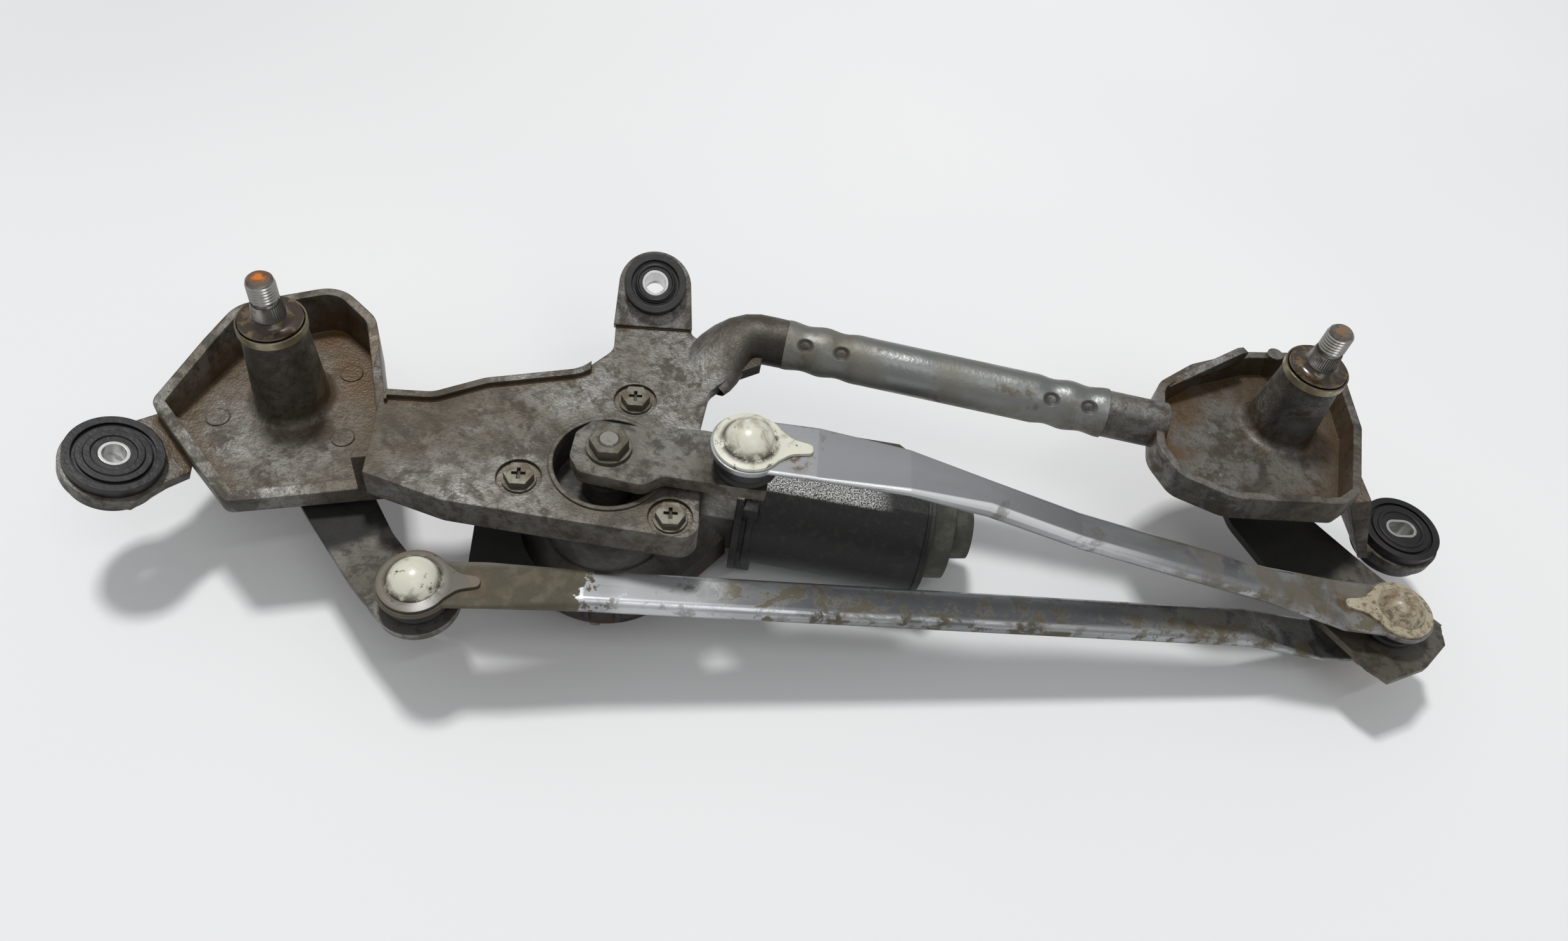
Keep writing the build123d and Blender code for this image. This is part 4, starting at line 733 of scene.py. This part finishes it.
tube_heading = math.degrees(math.atan2(tube_way.y, tube_way.x))
tube_rings = []
for step in range(TUBE_STEPS + 1):
    reach = tube_length * step / TUBE_STEPS
    radius = tube_radius(reach)
    tube_rings.append((TUBE_START + tube_way * reach, tube_heading, radius, radius))
tube = sleeve(tube_rings)
modify(tube, "SOLIDIFY", thickness=TUBE_WALL * MM, offset=-1.0)
for middle in dimples:
    press_spot = middle + facing_out * (WAIST_R + DIMPLE_R - DIMPLE_DEPTH)
    press = new(bpy.ops.mesh.primitive_uv_sphere_add, segments=28, ring_count=18, radius=DIMPLE_R * MM,
                location=press_spot * MM)
    modify(tube, "BOOLEAN", object=press)
    bpy.data.objects.remove(press)
tube.select_set(True)
settle(tube, "dimpled_tube", Matrix.Identity(4), "frame", "tube_steel")
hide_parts("cross_tube")

neck = sleeve([((70.9, 70.0, 0.0), 168.4, 10.4, 10.4), ((64.0, 71.4, 0.0), 168.4, 10.5, 10.5),
               ((59.0, 72.2, -0.1), 174, 10.8, 10.5), ((54.6, 71.8, -0.4), 188, 11.4, 10.2),
               ((50.4, 69.8, -0.9), 203, 12.2, 9.6), ((46.6, 66.6, -1.5), 214, 13.0, 8.8),
               ((43.2, 62.6, -2.2), 222, 13.6, 7.8), ((40.0, 58.0, -2.9), 228, 13.8, 6.4),
               ((37.0, 53.0, -3.4), 232, 13.4, 4.6), ((34.6, 49.4, -3.6), 234, 12.6, 3.4)])
settle(neck, "tube_neck", Matrix.Identity(4), "frame", "cast_aluminium")

# Bands and clips of the motor, and ribs of its gear housing.
CLIP = [(-4.0, -3.0), (4.0, -3.0), (4.0, 3.0), (-4.0, 3.0)]
CLIP_LENGTH = 8.5
CLIP_REACH = 52.0
CLIP_SIDE = 21.0
CLIP_HEIGHT = 17.5
RIB = [(33.0, 0.0), (36.6, -1.0), (36.6, -9.4), (33.0, -9.4)]
RIB_THICKNESS = 2.2
RIB_Z = -49.0

motor = place_at(places["armature_spin"], axes["armature_spin"])
upright = motor.to_3x3().inverted() @ Z_AXIS
motor = motor @ Matrix.Rotation(math.atan2(upright.y, upright.x), 4, "Z")


def along(distance, side=0.0, height=0.0):
    """A frame on the motor's axis, its X axis upright and its Z axis away from the gear."""
    return motor @ shift(height, side, distance)


band("yoke_band", along(57.5), radius=29.0, flat=26.2, length=3.0)
band("yoke_end_seam", along(130.5), radius=28.7, flat=25.9, length=1.6)
for number, (side, height) in enumerate(((-1, 1), (1, 1), (-1, -1), (1, -1)), start=1):
    corner = along(CLIP_REACH, side * CLIP_SIDE, height * CLIP_HEIGHT)
    plate("yoke_clip_%d" % number, corner, CLIP, CLIP_LENGTH, "frame", "motor_steel", bevel=0.6)
for number, degrees in enumerate(range(-160, -20, 20), start=1):
    rib_spot = turn(degrees, "Z") @ shift(0, RIB_THICKNESS / 2, RIB_Z) @ turn(90, "X")
    plate("housing_rib_%d" % number, rib_spot, RIB, RIB_THICKNESS, "frame", "cast_aluminium",
          housing_finish)


# Floor, backdrop and light. Their sizes and places are in metres.
def paper(name, shade):
    made = Finish(name, (shade, shade, shade, 1.0), 0.9)
    made.cover(made.clouds(3, 0.3, 0.7, detail=1), (shade * 0.97, shade * 0.975, shade * 0.98, 1.0))
    # Painted shade: the far left of the floor is a little darker.
    made.deepen(made.ramp("Y", -1150, -750) * made.ramp("X", 200, -400), 0.88)
    return made.done()


floor_z = cad_box[0].z
floor = new(bpy.ops.mesh.primitive_plane_add, size=6.0, location=(0.08, 1.2, floor_z))
floor.name = "floor"
floor.data.materials.append(paper("floor_paper", 0.84))

world = bpy.data.worlds.new("studio")
scene.world = world
world.use_nodes = True
background = world.node_tree.nodes["Background"]
background.inputs["Color"].default_value = (0.97, 0.98, 1.0, 1.0)
background.inputs["Strength"].default_value = 0.39

LAMP_TARGET = Vector((0.08, 0.0, -0.05))


def soft_lamp(name, spot, size, power):
    """An area lamp that looks at the middle of the part."""
    lamp = bpy.data.lights.new(name, "AREA")
    lamp.shape = "RECTANGLE"
    lamp.size, lamp.size_y = size
    lamp.energy = power
    holder = bpy.data.objects.new(name, lamp)
    scene.collection.objects.link(holder)
    holder.location = spot
    holder.rotation_euler = (LAMP_TARGET - Vector(spot)).to_track_quat("-Z", "Y").to_euler()


soft_lamp("ceiling_light", (-0.35, 0.95, 3.1), (0.42, 0.42), 62.0)
soft_lamp("front_light", (1.0, -1.7, 2.3), (1.0, 1.0), 6.0)
soft_lamp("strip_light", (0.35, -0.75, 2.0), (1.4, 0.10), 4.0)

scene.view_settings.view_transform = "Standard"
